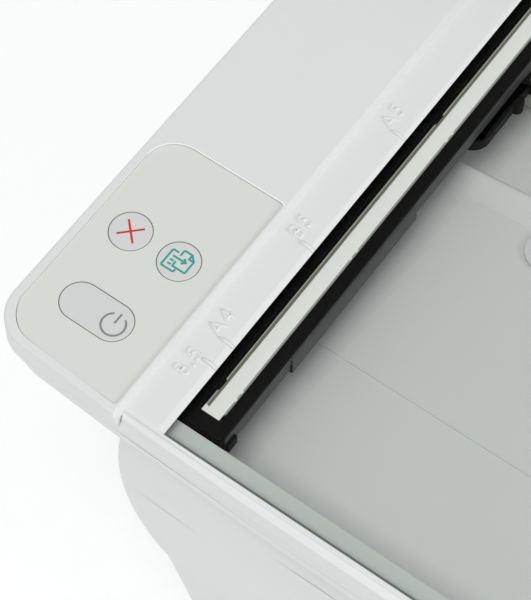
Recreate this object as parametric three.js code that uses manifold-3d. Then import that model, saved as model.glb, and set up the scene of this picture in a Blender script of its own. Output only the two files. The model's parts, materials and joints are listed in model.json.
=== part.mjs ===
// All-in-one inkjet printer with a flatbed scanner: lid open, control panel on the front left.
// Millimetres, +X to the right, +Y to the back, +Z up.
// Origin: under the middle of the printer, on the desk.
import * as THREE from "three";
import { mergeVertices } from "three/addons/utils/BufferGeometryUtils.js";
import Module from "manifold-3d";

const wasm = await Module();
wasm.setup();

// ---------- driving dimensions ----------
const WIDTH = 425;
const DEPTH = 302;
const FRONT_BOW = 3.4; // how far the middle of the front edge stands ahead of its ends
const BOW_POWER = 6; // the edge is nearly straight in the middle and turns back near the corners
const CORNER_R = 8.5;
const GAP = 0.3; // between pieces that touch
const WALL = 2.5;

const FOOT_H = 3;
const STRIP_Z = 136; // top of the frame round the glass
const PANEL_Z = 138; // top of the control panel's rim
const SKIRT_Z = 127; // bottom edge of the scanner unit
const LIP_Z = 132; // widest line of the scanner unit's rim

const LEFT = -WIDTH / 2;
const RIGHT = WIDTH / 2;
const FRONT = -DEPTH / 2;
const BACK = DEPTH / 2;
const TOP_BACK_Y = 112; // the scanner unit ends here, and the paper input is behind it

// The glass and the paper-size strip on its left.
const GLASS = { x0: -168.5, x1: 133.5, y0: -146.3, y1: 90, top: 134.9, thick: 2.6, under: 3.5 };
const STRIP = { x0: -177.8, bevel: 1.6, bevelDrop: 0.8 };
const PANEL_EDGE_X = -178.8;
const GLASS_BOTTOM = GLASS.top - GLASS.thick;
const OVERLAY = {
  x0: -210.1, x1: -179.2, y0: -147.5, y1: -90.1, top: 137.6, thick: 0.5, r: 7.3, squareR: 0.8,
};

// Keys of the control panel.
const KEY_R = 4.87;
const PILL_R = 4.7;
const KEY_GAP = 0.27;
const CANCEL = { x: -201.5, y: -113.9 };
const COPY = { x: -189, y: -113.8 };
const POWER = { x0: -199.6, x1: -191.4, y: -133 };

// Scanner tub under the glass.
const TUB = {
  x0: -175, x1: 159, y0: -140.8, y1: 87, floor: 116, channelFloor: 112, channelY0: -46.8, channelY1: 22,
  wall: 2,
};
const LEDGE_TOP = GLASS_BOTTOM - GAP;

// Scan carriage, parked at the left, and its drive.
const SENSOR = { x0: -173.6, x1: -159.2, y0: -140.2, y1: 86.4, top: GLASS_BOTTOM - GAP, bottom: 126 };
const SCAN_ROD = { y: 8, z: 119.5, r: 3 };
const MODULE = 1; // gear module
const SCAN_PINION_TEETH = 12;
const SCAN_RACK_PITCH_Z = 114.3;

// Lower housing, widest at BELLY_Z.
const HOUSING = { x0: -183, x1: 205, y0: -150.6, y1: BACK, r: 6.5, top: 126.8, bottom: 7 };
const BELLY_Z = 106;
const OUTPUT = { x0: -116, x1: 136, z0: 9, z1: 58 };
const DOOR = { x0: -122, x1: 142, z0: 64.6, z1: 103 };

// Lid, described closed and then turned up about its hinge line.
const LID_OPEN = THREE.MathUtils.degToRad(75);
const HINGE = { y: 104, z: 143, r: 2 };
const LID = { x0: -177.7, x1: RIGHT - 0.5, y0: FRONT + 1, y1: 109, z0: 136.4, z1: 149, wall: 2.2 };
const HINGE_XS = [-132, 150];
const HINGE_NAMES = ["left", "right"];

// Print mechanism.
const FEED = { y: 20, z: 52, r: 4, rollerR: 6.5 };
const FEED_TEETH = 32;
const IDLER_TEETH = 40;
const EXIT_TEETH = 20;
const MOTOR_TEETH = 12;
const EXIT_DROP = 12;
const CARRIAGE = { x0: 122, x1: 184, y0: -22, y1: 24, z0: 59.5, z1: 101 };
const CARRIAGE_ROD = { y: 33, z: 71.5, r: 4 };
const BELT = { y0: 34, y1: 39, z: 90, r: 5, x0: -158, x1: 188, thick: 1.2 };

// ---------- materials ----------
function material(color, roughness, metalness = 0) {
  return new THREE.MeshStandardMaterial({ color, roughness, metalness });
}
const white = material(0xe4e6e6, 0.45);
const panelGreen = material(0xd3d8d1, 0.35);
const keyGrey = material(0xd2d4d2, 0.35);
const black = material(0x17181a, 0.5);
const darkGrey = material(0x3c3e41, 0.5);
const clearGlass = new THREE.MeshStandardMaterial(
  { color: 0xb9cfc6, roughness: 0.03, transparent: true, opacity: 0.35 }
);
const guideWhite = material(0xd8dbd6, 0.25);
const lensOlive = material(0x6d6c5c, 0.3);
const steel = material(0xb4b7ba, 0.3, 1);
const nylon = material(0xe6e3d8, 0.5);
const rubber = material(0x1c1c1c, 0.9);
const board = material(0x1f6b3c, 0.5);
const foam = material(0xf2f2f0, 0.9);

// ---------- geometry helpers ----------
// A closed three.js geometry as a solid that can be cut and joined.
function solid(geometry) {
  const open = geometry.index ? geometry.toNonIndexed() : geometry.clone();
  open.deleteAttribute("normal");
  open.deleteAttribute("uv");
  const merged = mergeVertices(open, 1e-4);
  return new wasm.Manifold(
    new wasm.Mesh({
      numProp: 3,
      vertProperties: merged.attributes.position.array,
      triVerts: new Uint32Array(merged.index.array),
    }),
  );
}

function geometryOf(body) {
  const made = body.getMesh();
  const stride = made.numProp;
  const points = new Float32Array(made.numVert * 3);
  for (let i = 0; i < made.numVert; i++) {
    points.set(made.vertProperties.subarray(i * stride, i * stride + 3), i * 3);
  }
  return new THREE.BufferGeometry()
    .setAttribute("position", new THREE.BufferAttribute(points, 3))
    .setIndex(new THREE.BufferAttribute(new Uint32Array(made.triVerts), 1));
}

function box(x0, x1, y0, y1, z0, z1) {
  const g = new THREE.BoxGeometry(x1 - x0, y1 - y0, z1 - z0);
  return solid(g.translate((x0 + x1) / 2, (y0 + y1) / 2, (z0 + z1) / 2));
}

// A round bar along X, Y or Z from a to b. The other two coordinates are its centre, in X, Y, Z order.
function bar(axis, r, a, b, c1, c2, sides = 24) {
  const g = new THREE.CylinderGeometry(r, r, b - a, sides);
  const middle = (a + b) / 2;
  if (axis === "x") return solid(g.rotateZ(-Math.PI / 2).translate(middle, c1, c2));
  if (axis === "y") return solid(g.translate(c1, middle, c2));
  return solid(g.rotateX(Math.PI / 2).translate(c1, c2, middle));
}

// An outline in X and Y raised from z0 to z1.
function raise(shape, z0, z1, curveSegments = 8) {
  const g = new THREE.ExtrudeGeometry(shape, { depth: z1 - z0, bevelEnabled: false, curveSegments });
  return solid(g.translate(0, 0, z0));
}

// An outline in Y and Z stretched along X from x0 to x1.
function stretchX(points, x0, x1) {
  const shape = new THREE.Shape(points.map(([y, z]) => new THREE.Vector2(y, z)));
  const g = new THREE.ExtrudeGeometry(shape, { depth: x1 - x0, bevelEnabled: false });
  // The shape's first axis becomes Y, its second Z, and the depth X.
  const turn = new THREE.Matrix4().makeBasis(
    new THREE.Vector3(0, 1, 0),
    new THREE.Vector3(0, 0, 1),
    new THREE.Vector3(1, 0, 0),
  );
  return solid(g.applyMatrix4(turn).translate(x0, 0, 0));
}

function roundedRect(x0, x1, y0, y1, r, leftR = r) {
  const s = new THREE.Shape();
  s.moveTo(x0 + leftR, y0);
  s.lineTo(x1 - r, y0);
  s.absarc(x1 - r, y0 + r, r, -Math.PI / 2, 0, false);
  s.lineTo(x1, y1 - r);
  s.absarc(x1 - r, y1 - r, r, 0, Math.PI / 2, false);
  s.lineTo(x0 + leftR, y1);
  s.absarc(x0 + leftR, y1 - leftR, leftR, Math.PI / 2, Math.PI, false);
  s.lineTo(x0, y0 + leftR);
  s.absarc(x0 + leftR, y0 + leftR, leftR, Math.PI, Math.PI * 1.5, false);
  return s;
}

function pill(x0, x1, y, r) {
  const s = new THREE.Shape();
  s.moveTo(x0, y - r);
  s.lineTo(x1, y - r);
  s.absarc(x1, y, r, -Math.PI / 2, Math.PI / 2, false);
  s.lineTo(x0, y + r);
  s.absarc(x0, y, r, Math.PI / 2, Math.PI * 1.5, false);
  return s;
}

function circle(x, y, r) {
  return new THREE.Shape().absarc(x, y, r, 0, Math.PI * 2, false);
}

// The printer's front edge is a shallow bow: how far back it lies at x.
function bow(x) {
  return FRONT_BOW * (x / RIGHT) ** BOW_POWER;
}

// One ring of points round a rounded rectangle whose front side follows the bow.
const CORNER_STEPS = 5;
const FRONT_STEPS = 14;
function ring(x0, x1, y0, y1, z, frontR, backR) {
  const points = [];
  const corner = (cx, cy, r, start) => {
    for (let i = 0; i <= CORNER_STEPS; i++) {
      const a = start + (i / CORNER_STEPS) * (Math.PI / 2);
      points.push([cx + r * Math.cos(a), cy + r * Math.sin(a)]);
    }
  };
  corner(x0 + frontR, y0 + frontR, frontR, Math.PI);
  for (let i = 1; i < FRONT_STEPS; i++) {
    const share = Math.sin((i / FRONT_STEPS - 0.5) * Math.PI); // closer together near the corners
    points.push([(x0 + x1) / 2 + ((x1 - x0) / 2 - frontR) * share, y0]);
  }
  corner(x1 - frontR, y0 + frontR, frontR, -Math.PI / 2);
  corner(x1 - backR, y1 - backR, backR, 0);
  corner(x0 + backR, y1 - backR, backR, Math.PI / 2);
  const middleY = (y0 + y1) / 2;
  return points.map(([x, y]) => new THREE.Vector3(x, y < middleY ? y + bow(x) : y, z));
}

// A closed solid through rings of equal length, from the lowest to the highest.
function loft(rings) {
  const count = rings[0].length;
  const positions = [];
  const triangle = (a, b, c) => positions.push(...a.toArray(), ...b.toArray(), ...c.toArray());
  for (let k = 0; k + 1 < rings.length; k++) {
    for (let i = 0; i < count; i++) {
      const j = (i + 1) % count;
      triangle(rings[k][i], rings[k][j], rings[k + 1][j]);
      triangle(rings[k][i], rings[k + 1][j], rings[k + 1][i]);
    }
  }
  const cap = (points, up) => {
    const flat = points.map((p) => new THREE.Vector2(p.x, p.y));
    for (const [a, b, c] of THREE.ShapeUtils.triangulateShape(flat, [])) {
      if (up) triangle(points[a], points[b], points[c]);
      else triangle(points[a], points[c], points[b]);
    }
  };
  cap(rings[0], false);
  cap(rings[rings.length - 1], true);
  return solid(
    new THREE.BufferGeometry().setAttribute("position", new THREE.Float32BufferAttribute(positions, 3))
  );
}

// A spur gear in X and Y round the origin, with one tooth at angle `phase`.
function gearShape(teeth, phase, boreR) {
  const pitchR = (teeth * MODULE) / 2;
  const tipR = pitchR + 0.85 * MODULE;
  const rootR = pitchR - 1.15 * MODULE;
  const step = (Math.PI * 2) / teeth;
  const flank = [[-0.26, rootR], [-0.13, tipR], [0.13, tipR], [0.26, rootR]];
  const points = [];
  for (let t = 0; t < teeth; t++) {
    for (const [share, r] of flank) {
      const a = phase + (t + share) * step;
      points.push(new THREE.Vector2(r * Math.cos(a), r * Math.sin(a)));
    }
  }
  const s = new THREE.Shape(points);
  if (boreR > 0) s.holes.push(new THREE.Path().absarc(0, 0, boreR, 0, Math.PI * 2, true));
  return s;
}

// The phase that puts gear B in mesh with gear A, where B lies at `direction` from A.
function meshPhase(phaseA, teethA, teethB, direction) {
  const share = (direction - phaseA) / ((Math.PI * 2) / teethA);
  return direction + Math.PI - ((Math.PI * 2) / teethB) * (0.5 - share);
}

// A gear whose axle is along X. Its shape's axes become Y and Z.
function gearX(teeth, phase, boreR, x0, x1, y, z) {
  const g = new THREE.ExtrudeGeometry(
    gearShape(teeth, phase, boreR), { depth: x1 - x0, bevelEnabled: false, curveSegments: 6 },
  );
  const turn = new THREE.Matrix4().makeBasis(
    new THREE.Vector3(0, 1, 0),
    new THREE.Vector3(0, 0, 1),
    new THREE.Vector3(1, 0, 0),
  );
  return solid(g.applyMatrix4(turn).translate(x0, y, z));
}

// A stepped shaft along X: stretches of [x, r] from left to right.
function shaftX(stretches, x1, y, z, sides = 14) {
  const profile = [new THREE.Vector2(0, stretches[0][0])];
  stretches.forEach(([x, r], i) => {
    const end = i + 1 < stretches.length ? stretches[i + 1][0] : x1;
    profile.push(new THREE.Vector2(r, x), new THREE.Vector2(r, end));
  });
  profile.push(new THREE.Vector2(0, x1));
  const g = new THREE.LatheGeometry(profile, sides);
  return solid(g.rotateZ(-Math.PI / 2).translate(0, y, z));
}

const printer = new THREE.Group();
function add(name, body, look, parent = printer) {
  const mesh = new THREE.Mesh(geometryOf(body), look);
  mesh.name = name;
  parent.add(mesh);
  return mesh;
}

// ---------- scanner unit ----------
// The outline of the scanner unit, drawn in by `inset` all round.
function unitRing(inset, z, extraR = 0) {
  return ring(
    LEFT + inset, RIGHT - inset, FRONT + inset, TOP_BACK_Y - inset, z, CORNER_R - inset + extraR,
    CORNER_R - inset,
  );
}

// Section of the rim, from the skirt's bottom over the lip and up a hollow face to the rounded top.
// Each step is [inset, height, extra corner radius].
const RIM = [
  [0.7, SKIRT_Z, 4],
  [0, LIP_Z - 0.1, 0],
  [0.2, LIP_Z + 0.25, 0],
  [1, LIP_Z + 1.1, 0],
  [1.5, LIP_Z + 2.5, 0],
  [1.9, LIP_Z + 3.3, 0],
  [2.6, LIP_Z + 3.75, 0],
  [4.2, STRIP_Z, 0],
];
const PANEL_RIM = [
  [0.1, LIP_Z + 0.1, 0],
  [0.2, PANEL_Z - 0.7, 0],
  [0.4, PANEL_Z - 0.2, 0],
  [0.85, PANEL_Z, 0],
];

function scannerBezel() {
  const outer = loft(RIM.map((step) => unitRing(...step)));
  const inner = loft([
    unitRing(WALL + 0.7, SKIRT_Z - 1, 4),
    unitRing(WALL + 1.3, STRIP_Z - 2.4),
  ]);
  // The control panel stands higher than the frame round the glass.
  const underPanel = loft([LIP_Z - 1, STRIP_Z - 3].map((z) => unitRing(WALL + 1.3, z)));
  const panelBlock = loft(PANEL_RIM.map((step) => unitRing(...step))).subtract(underPanel);
  const panelSide = stretchXZ([
    [LEFT - 1, LIP_Z - 1],
    [STRIP.x0, LIP_Z - 1],
    [STRIP.x0, STRIP_Z],
    [PANEL_EDGE_X, PANEL_Z + 1e-3],
    [PANEL_EDGE_X, PANEL_Z + 2],
    [LEFT - 1, PANEL_Z + 2],
  ], FRONT - 1, TOP_BACK_Y + 1);
  let body = outer.subtract(inner).add(panelBlock.intersect(panelSide));
  // Opening over the glass, with a bevel down to it on the left, back and right.
  // The glass has its own pocket below.
  const bevelled = loft([
    rectRing(GLASS.x0, GLASS.x1, GLASS.y0 - 0.2, GLASS.y1, STRIP_Z - STRIP.bevelDrop - 6),
    rectRing(GLASS.x0, GLASS.x1, GLASS.y0 - 0.2, GLASS.y1, STRIP_Z - STRIP.bevelDrop),
    rectRing(
      GLASS.x0 - STRIP.bevel, GLASS.x1 + STRIP.bevel, GLASS.y0 - 0.2, GLASS.y1 + STRIP.bevel, STRIP_Z,
    ),
    rectRing(
      GLASS.x0 - STRIP.bevel, GLASS.x1 + STRIP.bevel, GLASS.y0 - 0.2, GLASS.y1 + STRIP.bevel,
      STRIP_Z + 1,
    ),
  ]);
  const pocket = box(GLASS.x0 - GLASS.under - GAP, GLASS.x1 + GLASS.under + GAP, GLASS.y0 - 0.2,
    GLASS.y1 + GLASS.under + GAP, SKIRT_Z, GLASS.top + GAP);
  body = body.subtract(bevelled).subtract(pocket);
  // Recess for the overlay and a hole for each key.
  const recess = raise(overlayShape(0.15), OVERLAY.top - OVERLAY.thick - GAP, PANEL_Z + 1);
  body = body.subtract(recess);
  for (const shape of keyShapes(0)) body = body.subtract(raise(shape, SKIRT_Z, PANEL_Z + 1, 10));
  // Slots for the lid's two hinge posts.
  for (const x of HINGE_XS) {
    body = body.subtract(box(x - 8.3, x + 8.3, HINGE.y - 5.3, HINGE.y + 5.3, SKIRT_Z - 1, STRIP_Z + 1));
  }
  return body;
}

// An outline in X and Z stretched along Y from y0 to y1.
function stretchXZ(points, y0, y1) {
  const shape = new THREE.Shape(points.map(([x, z]) => new THREE.Vector2(x, z)));
  const g = new THREE.ExtrudeGeometry(shape, { depth: y1 - y0, bevelEnabled: false });
  return solid(g.rotateX(Math.PI / 2).translate(0, y1, 0));
}

function rectRing(x0, x1, y0, y1, z) {
  return [[x0, y0], [x1, y0], [x1, y1], [x0, y1]].map(([x, y]) => new THREE.Vector3(x, y, z));
}

// Outline of the overlay. Its front edge follows the panel's bowed rim.
function overlayShape(grow) {
  const { x0, x1, y0, y1, r, squareR } = OVERLAY;
  const frontSteps = 5;
  const corners = roundedRect(x0 - grow, x1 + grow, y0 - grow, y1 + grow, squareR, r + grow).getPoints(6);
  const points = corners.flatMap((p, i) => {
    const next = corners[(i + 1) % corners.length];
    const isFront = Math.max(p.y, next.y) < y0 - grow + 1e-6 && p.distanceTo(next) > r;
    if (!isFront) return [p];
    return Array.from({ length: frontSteps }, (_, k) => p.clone().lerp(next, k / frontSteps));
  });
  const bowed = points.map((p) => {
    if (p.y > y0 + r + grow) return p;
    return new THREE.Vector2(p.x, p.y + bow(p.x) - bow(x1));
  });
  return new THREE.Shape(bowed);
}

// The three keys' outlines, drawn in by `shrink`.
function keyShapes(shrink) {
  return [
    circle(CANCEL.x, CANCEL.y, KEY_R - shrink),
    circle(COPY.x, COPY.y, KEY_R - shrink),
    pill(POWER.x0, POWER.x1, POWER.y, PILL_R - shrink),
  ];
}

add("scanner_bezel", scannerBezel(), white);

let overlay = raise(overlayShape(-0.1), OVERLAY.top - OVERLAY.thick, OVERLAY.top, 6);
for (const shape of keyShapes(0)) overlay = overlay.subtract(raise(shape, PANEL_Z - 4, PANEL_Z + 1, 10));
add("panel_overlay", overlay, panelGreen);

// Panel board with a dome switch under each key, and the keys on their stems.
const BOARD_Z = 129.6;
const SWITCH_TOP = BOARD_Z + 1.5;
const KEY_BOTTOM = SWITCH_TOP + 0.8;
const powerStemX = (POWER.x0 + POWER.x1) / 2;
const keyCentres = [[CANCEL.x, CANCEL.y], [COPY.x, COPY.y], [powerStemX, POWER.y]];
let panelBoard = box(
  OVERLAY.x0 + 3.3, OVERLAY.x1 + 1, OVERLAY.y0 + 6, OVERLAY.y1 + 6, BOARD_Z, BOARD_Z + 1.2,
);
for (const [x, y] of keyCentres) {
  panelBoard = panelBoard.add(box(x - 3, x + 3, y - 3, y + 3, BOARD_Z + 0.5, SWITCH_TOP));
}
add("panel_board", panelBoard, board);

const KEY_NAMES = ["cancel_button", "copy_button", "power_button"];
keyShapes(KEY_GAP).forEach((shape, i) => {
  const [x, y] = keyCentres[i];
  const cap = raise(shape, PANEL_Z - 3, OVERLAY.top, 10);
  const stem = bar("z", 2, KEY_BOTTOM, PANEL_Z - 2.5, x, y, 12);
  add(KEY_NAMES[i], cap.add(stem), keyGrey);
});

add(
  "scanner_glass",
  box(
    GLASS.x0 - GLASS.under, GLASS.x1 + GLASS.under, GLASS.y0, GLASS.y1 + GLASS.under, GLASS_BOTTOM,
    GLASS.top,
  ),
  clearGlass,
);

// The lower half of the scanner unit: its underside, and the tub that the sensor runs in.
function scannerTub() {
  const plateTop = SKIRT_Z + 2.2;
  const t = TUB.wall;
  const plate = loft([
    unitRing(WALL + 1.3, SKIRT_Z + 0.2, 3),
    unitRing(WALL + 1.3, plateTop, 3),
  ]);
  // Below the sensor the tub's front left corner is cut off, clear of the housing's rounded corner.
  const cutCorner = (x, y, size, z1) => raise(
    new THREE.Shape(
      [[x, y], [x + size, y], [x, y + size]].map(([a, b]) => new THREE.Vector2(a, b))
    ), TUB.floor - t - 1, z1);
  const tub = box(TUB.x0 - t, TUB.x1 + t, TUB.y0 - t, TUB.y1 + t, TUB.floor - t, LEDGE_TOP)
    .subtract(cutCorner(TUB.x0 - t - 0.01, TUB.y0 - t - 0.01, 7, HOUSING.top + GAP))
    .add(
      box(TUB.x0 - t, TUB.x1 + t, TUB.channelY0 - t, TUB.channelY1 + t, TUB.channelFloor - t, TUB.floor)
    );
  // The glass rests on a ledge that is wider at the front.
  const ledge = box(
    GLASS.x0 - GLASS.under, GLASS.x1 + GLASS.under, GLASS.y0, GLASS.y1 + GLASS.under, LEDGE_TOP - 2,
    LEDGE_TOP,
  );
  let body = plate.add(tub).add(ledge);
  const hollow = box(TUB.x0, TUB.x1, TUB.y0, TUB.y1, TUB.floor, LEDGE_TOP + 1)
    .subtract(cutCorner(TUB.x0 - 0.01, TUB.y0 - 0.01, 6, SENSOR.bottom - 0.5));
  body = body.subtract(hollow);
  body = body.subtract(box(TUB.x0, TUB.x1, TUB.channelY0, TUB.channelY1, TUB.channelFloor, TUB.floor + 1));
  // A fine raised line and a row of round bosses on the floor.
  body = body.add(box(TUB.x0 + 1, TUB.x1 - 1, -103.0, -102.6, TUB.floor - 0.5, TUB.floor + 0.25));
  for (let x = -133; x < TUB.x1 - 40; x += 90) {
    body = body.add(bar("z", 5.2, TUB.floor - 0.5, TUB.floor + 0.8, x, -55.6, 20));
  }
  // Seats for the guide rod at both ends.
  for (const x of [TUB.x0 + 1, TUB.x1 - 1]) {
    body = body.add(
      box(
        x - 1, x + 1, SCAN_ROD.y - 6, SCAN_ROD.y + 6, TUB.channelFloor - 1,
        SCAN_ROD.z - SCAN_ROD.r - GAP,
      )
    );
  }
  for (const x of HINGE_XS) {
    body = body.subtract(box(x - 8.3, x + 8.3, HINGE.y - 5.3, HINGE.y + 5.3, SKIRT_Z - 1, STRIP_Z + 1));
  }
  return body;
}
add("scanner_tub", scannerTub(), white);

add("scan_guide_rod", bar("x", SCAN_ROD.r, TUB.x0 + 0.4, TUB.x1 - 0.4, SCAN_ROD.y, SCAN_ROD.z, 16), steel);

// Toothed rack on the channel floor. A tooth gap lies under the parked pinion.
const PINION_X = -151;
const PINION_Y = { y0: -22, y1: -15 };
const PINION_Z = SCAN_RACK_PITCH_Z + (SCAN_PINION_TEETH * MODULE) / 2;
function scanRack() {
  const pitch = Math.PI * MODULE;
  const root = SCAN_RACK_PITCH_Z - 1.15 * MODULE;
  const tip = SCAN_RACK_PITCH_Z + 0.85 * MODULE;
  const toothCount = 2 * Math.floor((TUB.x1 - TUB.x0 - 10) / pitch / 2);
  const firstGap = PINION_X - Math.floor((PINION_X - TUB.x0 - 4) / pitch) * pitch;
  const points = [[firstGap, TUB.channelFloor + GAP]];
  let x = firstGap;
  for (let i = 0; i < toothCount && x + pitch < TUB.x1 - 4; i++) {
    points.push(
      [x + 0.24 * pitch, root], [x + 0.37 * pitch, tip], [x + 0.63 * pitch, tip],
      [x + 0.76 * pitch, root],
    );
    x += pitch;
  }
  points.push([x, root], [x, TUB.channelFloor + GAP]);
  points.splice(1, 0, [firstGap, root]);
  return stretchXZ(points.reverse(), PINION_Y.y0 - 1, PINION_Y.y1 + 1);
}
add("scan_rack", scanRack(), nylon);

// ---------- scan carriage ----------
const MIDDLE = { y0: -116, y1: -70 }; // the side of the cradle is deeper here
// The drive bracket is a narrow trough at its front and widens at stepY to hold the pinion and the motor.
const BRACKET = { y0: -47.8, stepY: -27, y1: 18, frontX: -157, x1: -143.5, z0: 123.2, z1: 125.2, r: 4.5 };
function sensorCradle() {
  const { x0, x1, y0, y1, top, bottom } = SENSOR;
  let body = box(x0, x1, y0, y1, bottom, top - 0.6);
  body = body.subtract(box(x0 + 1, x1 - 2.4, y0 + 3.4, y1 - 3.4, bottom + 1, top));
  body = body.add(box(x1 - 2, x1, MIDDLE.y0, MIDDLE.y1, bottom - 1.2, bottom + 1));
  // End feet that reach under the ledge, a little wider than the bar.
  for (const y of [y0, y1 - 5]) body = body.add(box(x1 - 1, x1 + 1.3, y, y + 5, bottom, bottom + 3));
  // Bracket for the drive: a trough with a rounded front corner and two ribs, then a plate with a raised rim.
  const { x1: bx, frontX, stepY, r } = BRACKET;
  const trough = new THREE.Shape();
  trough.moveTo(x0 + 6, BRACKET.y0);
  trough.lineTo(frontX - r, BRACKET.y0);
  trough.absarc(frontX - r, BRACKET.y0 + r, r, -Math.PI / 2, 0, false);
  trough.lineTo(frontX, stepY + 1);
  trough.lineTo(x0 + 6, stepY + 1);
  let bracket = raise(trough, BRACKET.z0, bottom + 0.5, 10);
  bracket = bracket.subtract(
    box(x1 + 0.01, frontX - 0.8, BRACKET.y0 + 2.6, stepY - 0.5, BRACKET.z0 + 1, bottom + 1)
  );
  bracket = bracket.add(box(x0, bx, stepY, BRACKET.y1, BRACKET.z0, bottom + 0.5));
  bracket = bracket.subtract(box(x1 + 0.01, bx - 1.2, stepY + 1.2, BRACKET.y1 - 2, BRACKET.z1, bottom + 1));
  for (const y of [-41, -37]) {
    bracket = bracket.add(box(x1 - 1, frontX - 0.4, y, y + 0.8, BRACKET.z0 + 0.5, bottom + 0.5));
  }
  // Small foot that runs along the channel.
  bracket = bracket.add(bar("z", 1.5, BRACKET.z0, bottom + 0.5, frontX, stepY - 5, 12));
  body = body.add(bracket);
  // Window for the pinion and the block that runs on the guide rod.
  body = body.subtract(
    box(
      PINION_X - 7.6, PINION_X + 7.4, PINION_Y.y0 - 0.5, PINION_Y.y1 + 0.5, BRACKET.z0 - 1,
      bottom + 0.9,
    )
  );
  body = body.add(box(x0 + 1, bx - 1, SCAN_ROD.y - 5, SCAN_ROD.y + 5, SCAN_ROD.z - 5, BRACKET.z0 + 0.5));
  body = body.subtract(bar("x", SCAN_ROD.r + GAP, x0 - 2, bx + 2, SCAN_ROD.y, SCAN_ROD.z, 16));
  // Cheeks that carry the pinion's axle.
  for (const [a, b] of [[PINION_Y.y0 - 3, PINION_Y.y0 - 0.5], [PINION_Y.y1 + 0.5, PINION_Y.y1 + 3]]) {
    body = body.add(box(PINION_X - 4, PINION_X + 4, a, b, PINION_Z - 3, BRACKET.z0 + 0.5));
  }
  return body.subtract(bar("y", 1.8, PINION_Y.y0 - 4, PINION_Y.y1 + 4, PINION_X, PINION_Z, 16));
}
add("sensor_cradle", sensorCradle(), black);

// Sensor housing with a groove for the light guide and the lens strip.
const GUIDE_BAR = { x0: -166.1, x1: -162.5, y0: -136.8, y1: 83 };
const LENS_BAR = { x0: -167.2, x1: -166.2, y0: -134.4, y1: 80 };
function sensorHousing() {
  const { x0, x1, y0, y1, top, bottom } = SENSOR;
  let body = box(x0 + 1.3, x1 - 2.7, y0 + 3.7, y1 - 3.7, bottom + 1.3, top);
  body = body.subtract(
    box(
      GUIDE_BAR.x0 - GAP, GUIDE_BAR.x1 + GAP, GUIDE_BAR.y0 - GAP, GUIDE_BAR.y1 + GAP, top - 2.2,
      top + 1,
    )
  );
  return body.subtract(
    box(LENS_BAR.x0 - GAP, GUIDE_BAR.x0, LENS_BAR.y0 - GAP, LENS_BAR.y1 + GAP, top - 1.8, top + 1)
  );
}
add("sensor_housing", sensorHousing(), black);
add(
  "light_guide",
  box(GUIDE_BAR.x0 + 0.1, GUIDE_BAR.x1, GUIDE_BAR.y0, GUIDE_BAR.y1, SENSOR.top - 1.9, SENSOR.top - 0.2),
  guideWhite,
);
add(
  "lens_strip",
  box(LENS_BAR.x0, LENS_BAR.x1 - 0.3, LENS_BAR.y0, LENS_BAR.y1, SENSOR.top - 1.5, SENSOR.top - 0.2),
  lensOlive,
);

// Small motor on the bracket, behind the pinion.
const scanMotor = bar("z", 5.4, BRACKET.z1 + GAP, SENSOR.top - 1.2, -150.4, -5, 20)
  .add(bar("z", 3, SENSOR.top - 1.3, SENSOR.top - 0.7, -150.4, -5, 16));
add("scan_motor", scanMotor, steel);

// Pinion with its axle, along Y. A tooth points straight down into the rack's gap.
const pinion = raise(gearShape(SCAN_PINION_TEETH, -Math.PI / 2, 0), PINION_Y.y0, PINION_Y.y1, 6)
  .add(bar("z", 1.5, PINION_Y.y0 - 2.5, PINION_Y.y1 + 2.5, 0, 0, 12));
const pinionMesh = add("scan_pinion", pinion, nylon);
pinionMesh.geometry.rotateX(Math.PI / 2);
pinionMesh.geometry.translate(0, PINION_Y.y0 + PINION_Y.y1, 0);
pinionMesh.position.set(PINION_X, 0, PINION_Z);

// ---------- lid ----------
const lidPivot = new THREE.Group();
lidPivot.position.set(0, HINGE.y, HINGE.z);
lidPivot.rotation.x = -LID_OPEN;
printer.add(lidPivot);
const lid = new THREE.Group();
lid.position.set(0, -HINGE.y, -HINGE.z);
lidPivot.add(lid);

function lidRing(inset, z) {
  return ring(LID.x0 + inset, LID.x1 - inset, LID.y0 + inset, LID.y1 - inset, z, CORNER_R - inset, 3);
}
const HEEL_R = HINGE.z - STRIP_Z - 0.6;
function lidCover() {
  const skin = loft([
    lidRing(0.6, LID.z0),
    lidRing(0, LID.z0 + 1.5),
    lidRing(0, LID.z1 - 3),
    lidRing(0.9, LID.z1 - 0.9),
    lidRing(3, LID.z1),
  ]);
  const hollow = loft(
    [
      lidRing(LID.wall, LID.z0 - 1), lidRing(LID.wall, LID.z1 - LID.wall - 3),
      lidRing(LID.wall + 1.5, LID.z1 - LID.wall),
    ]
  );
  let body = skin.subtract(hollow);
  // Room for the hinge posts, and ears on both sides of each that hold its pin.
  for (const x of HINGE_XS) {
    body = body.subtract(box(x - 12.5, x + 12.5, HINGE.y - 6, LID.y1 + 1, LID.z0 - 1, LID.z1 - LID.wall));
    body = body.subtract(box(x - 8.5, x + 8.5, HINGE.y - 6, LID.y1 + 1, LID.z0 - 1, LID.z1 + 1));
    for (const side of [-1, 1]) {
      const a = x + side * 10.4;
      body = body.add(box(a - 1.7, a + 1.7, HINGE.y - 7, LID.y1 - 0.6, 139.2, LID.z1 - 1));
      body = body.subtract(bar("x", HINGE.r + 0.05, a - 1.8, a + 1.8, HINGE.y, HINGE.z, 16));
    }
  }
  // The rear edge is rounded about the hinge line, so that it clears the frame as the lid swings up.
  const heel = box(LID.x0 - 1, LID.x1 + 1, HINGE.y, LID.y1 + 1, LID.z0 - 1, HINGE.z);
  return body.subtract(heel.subtract(bar("x", HEEL_R, LID.x0 - 2, LID.x1 + 2, HINGE.y, HINGE.z, 64)));
}
add("lid_cover", lidCover(), white, lid);
const PAD = { inset: 1.6, z0: GLASS.top + 0.4, z1: LID.z1 - LID.wall - GAP };
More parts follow.
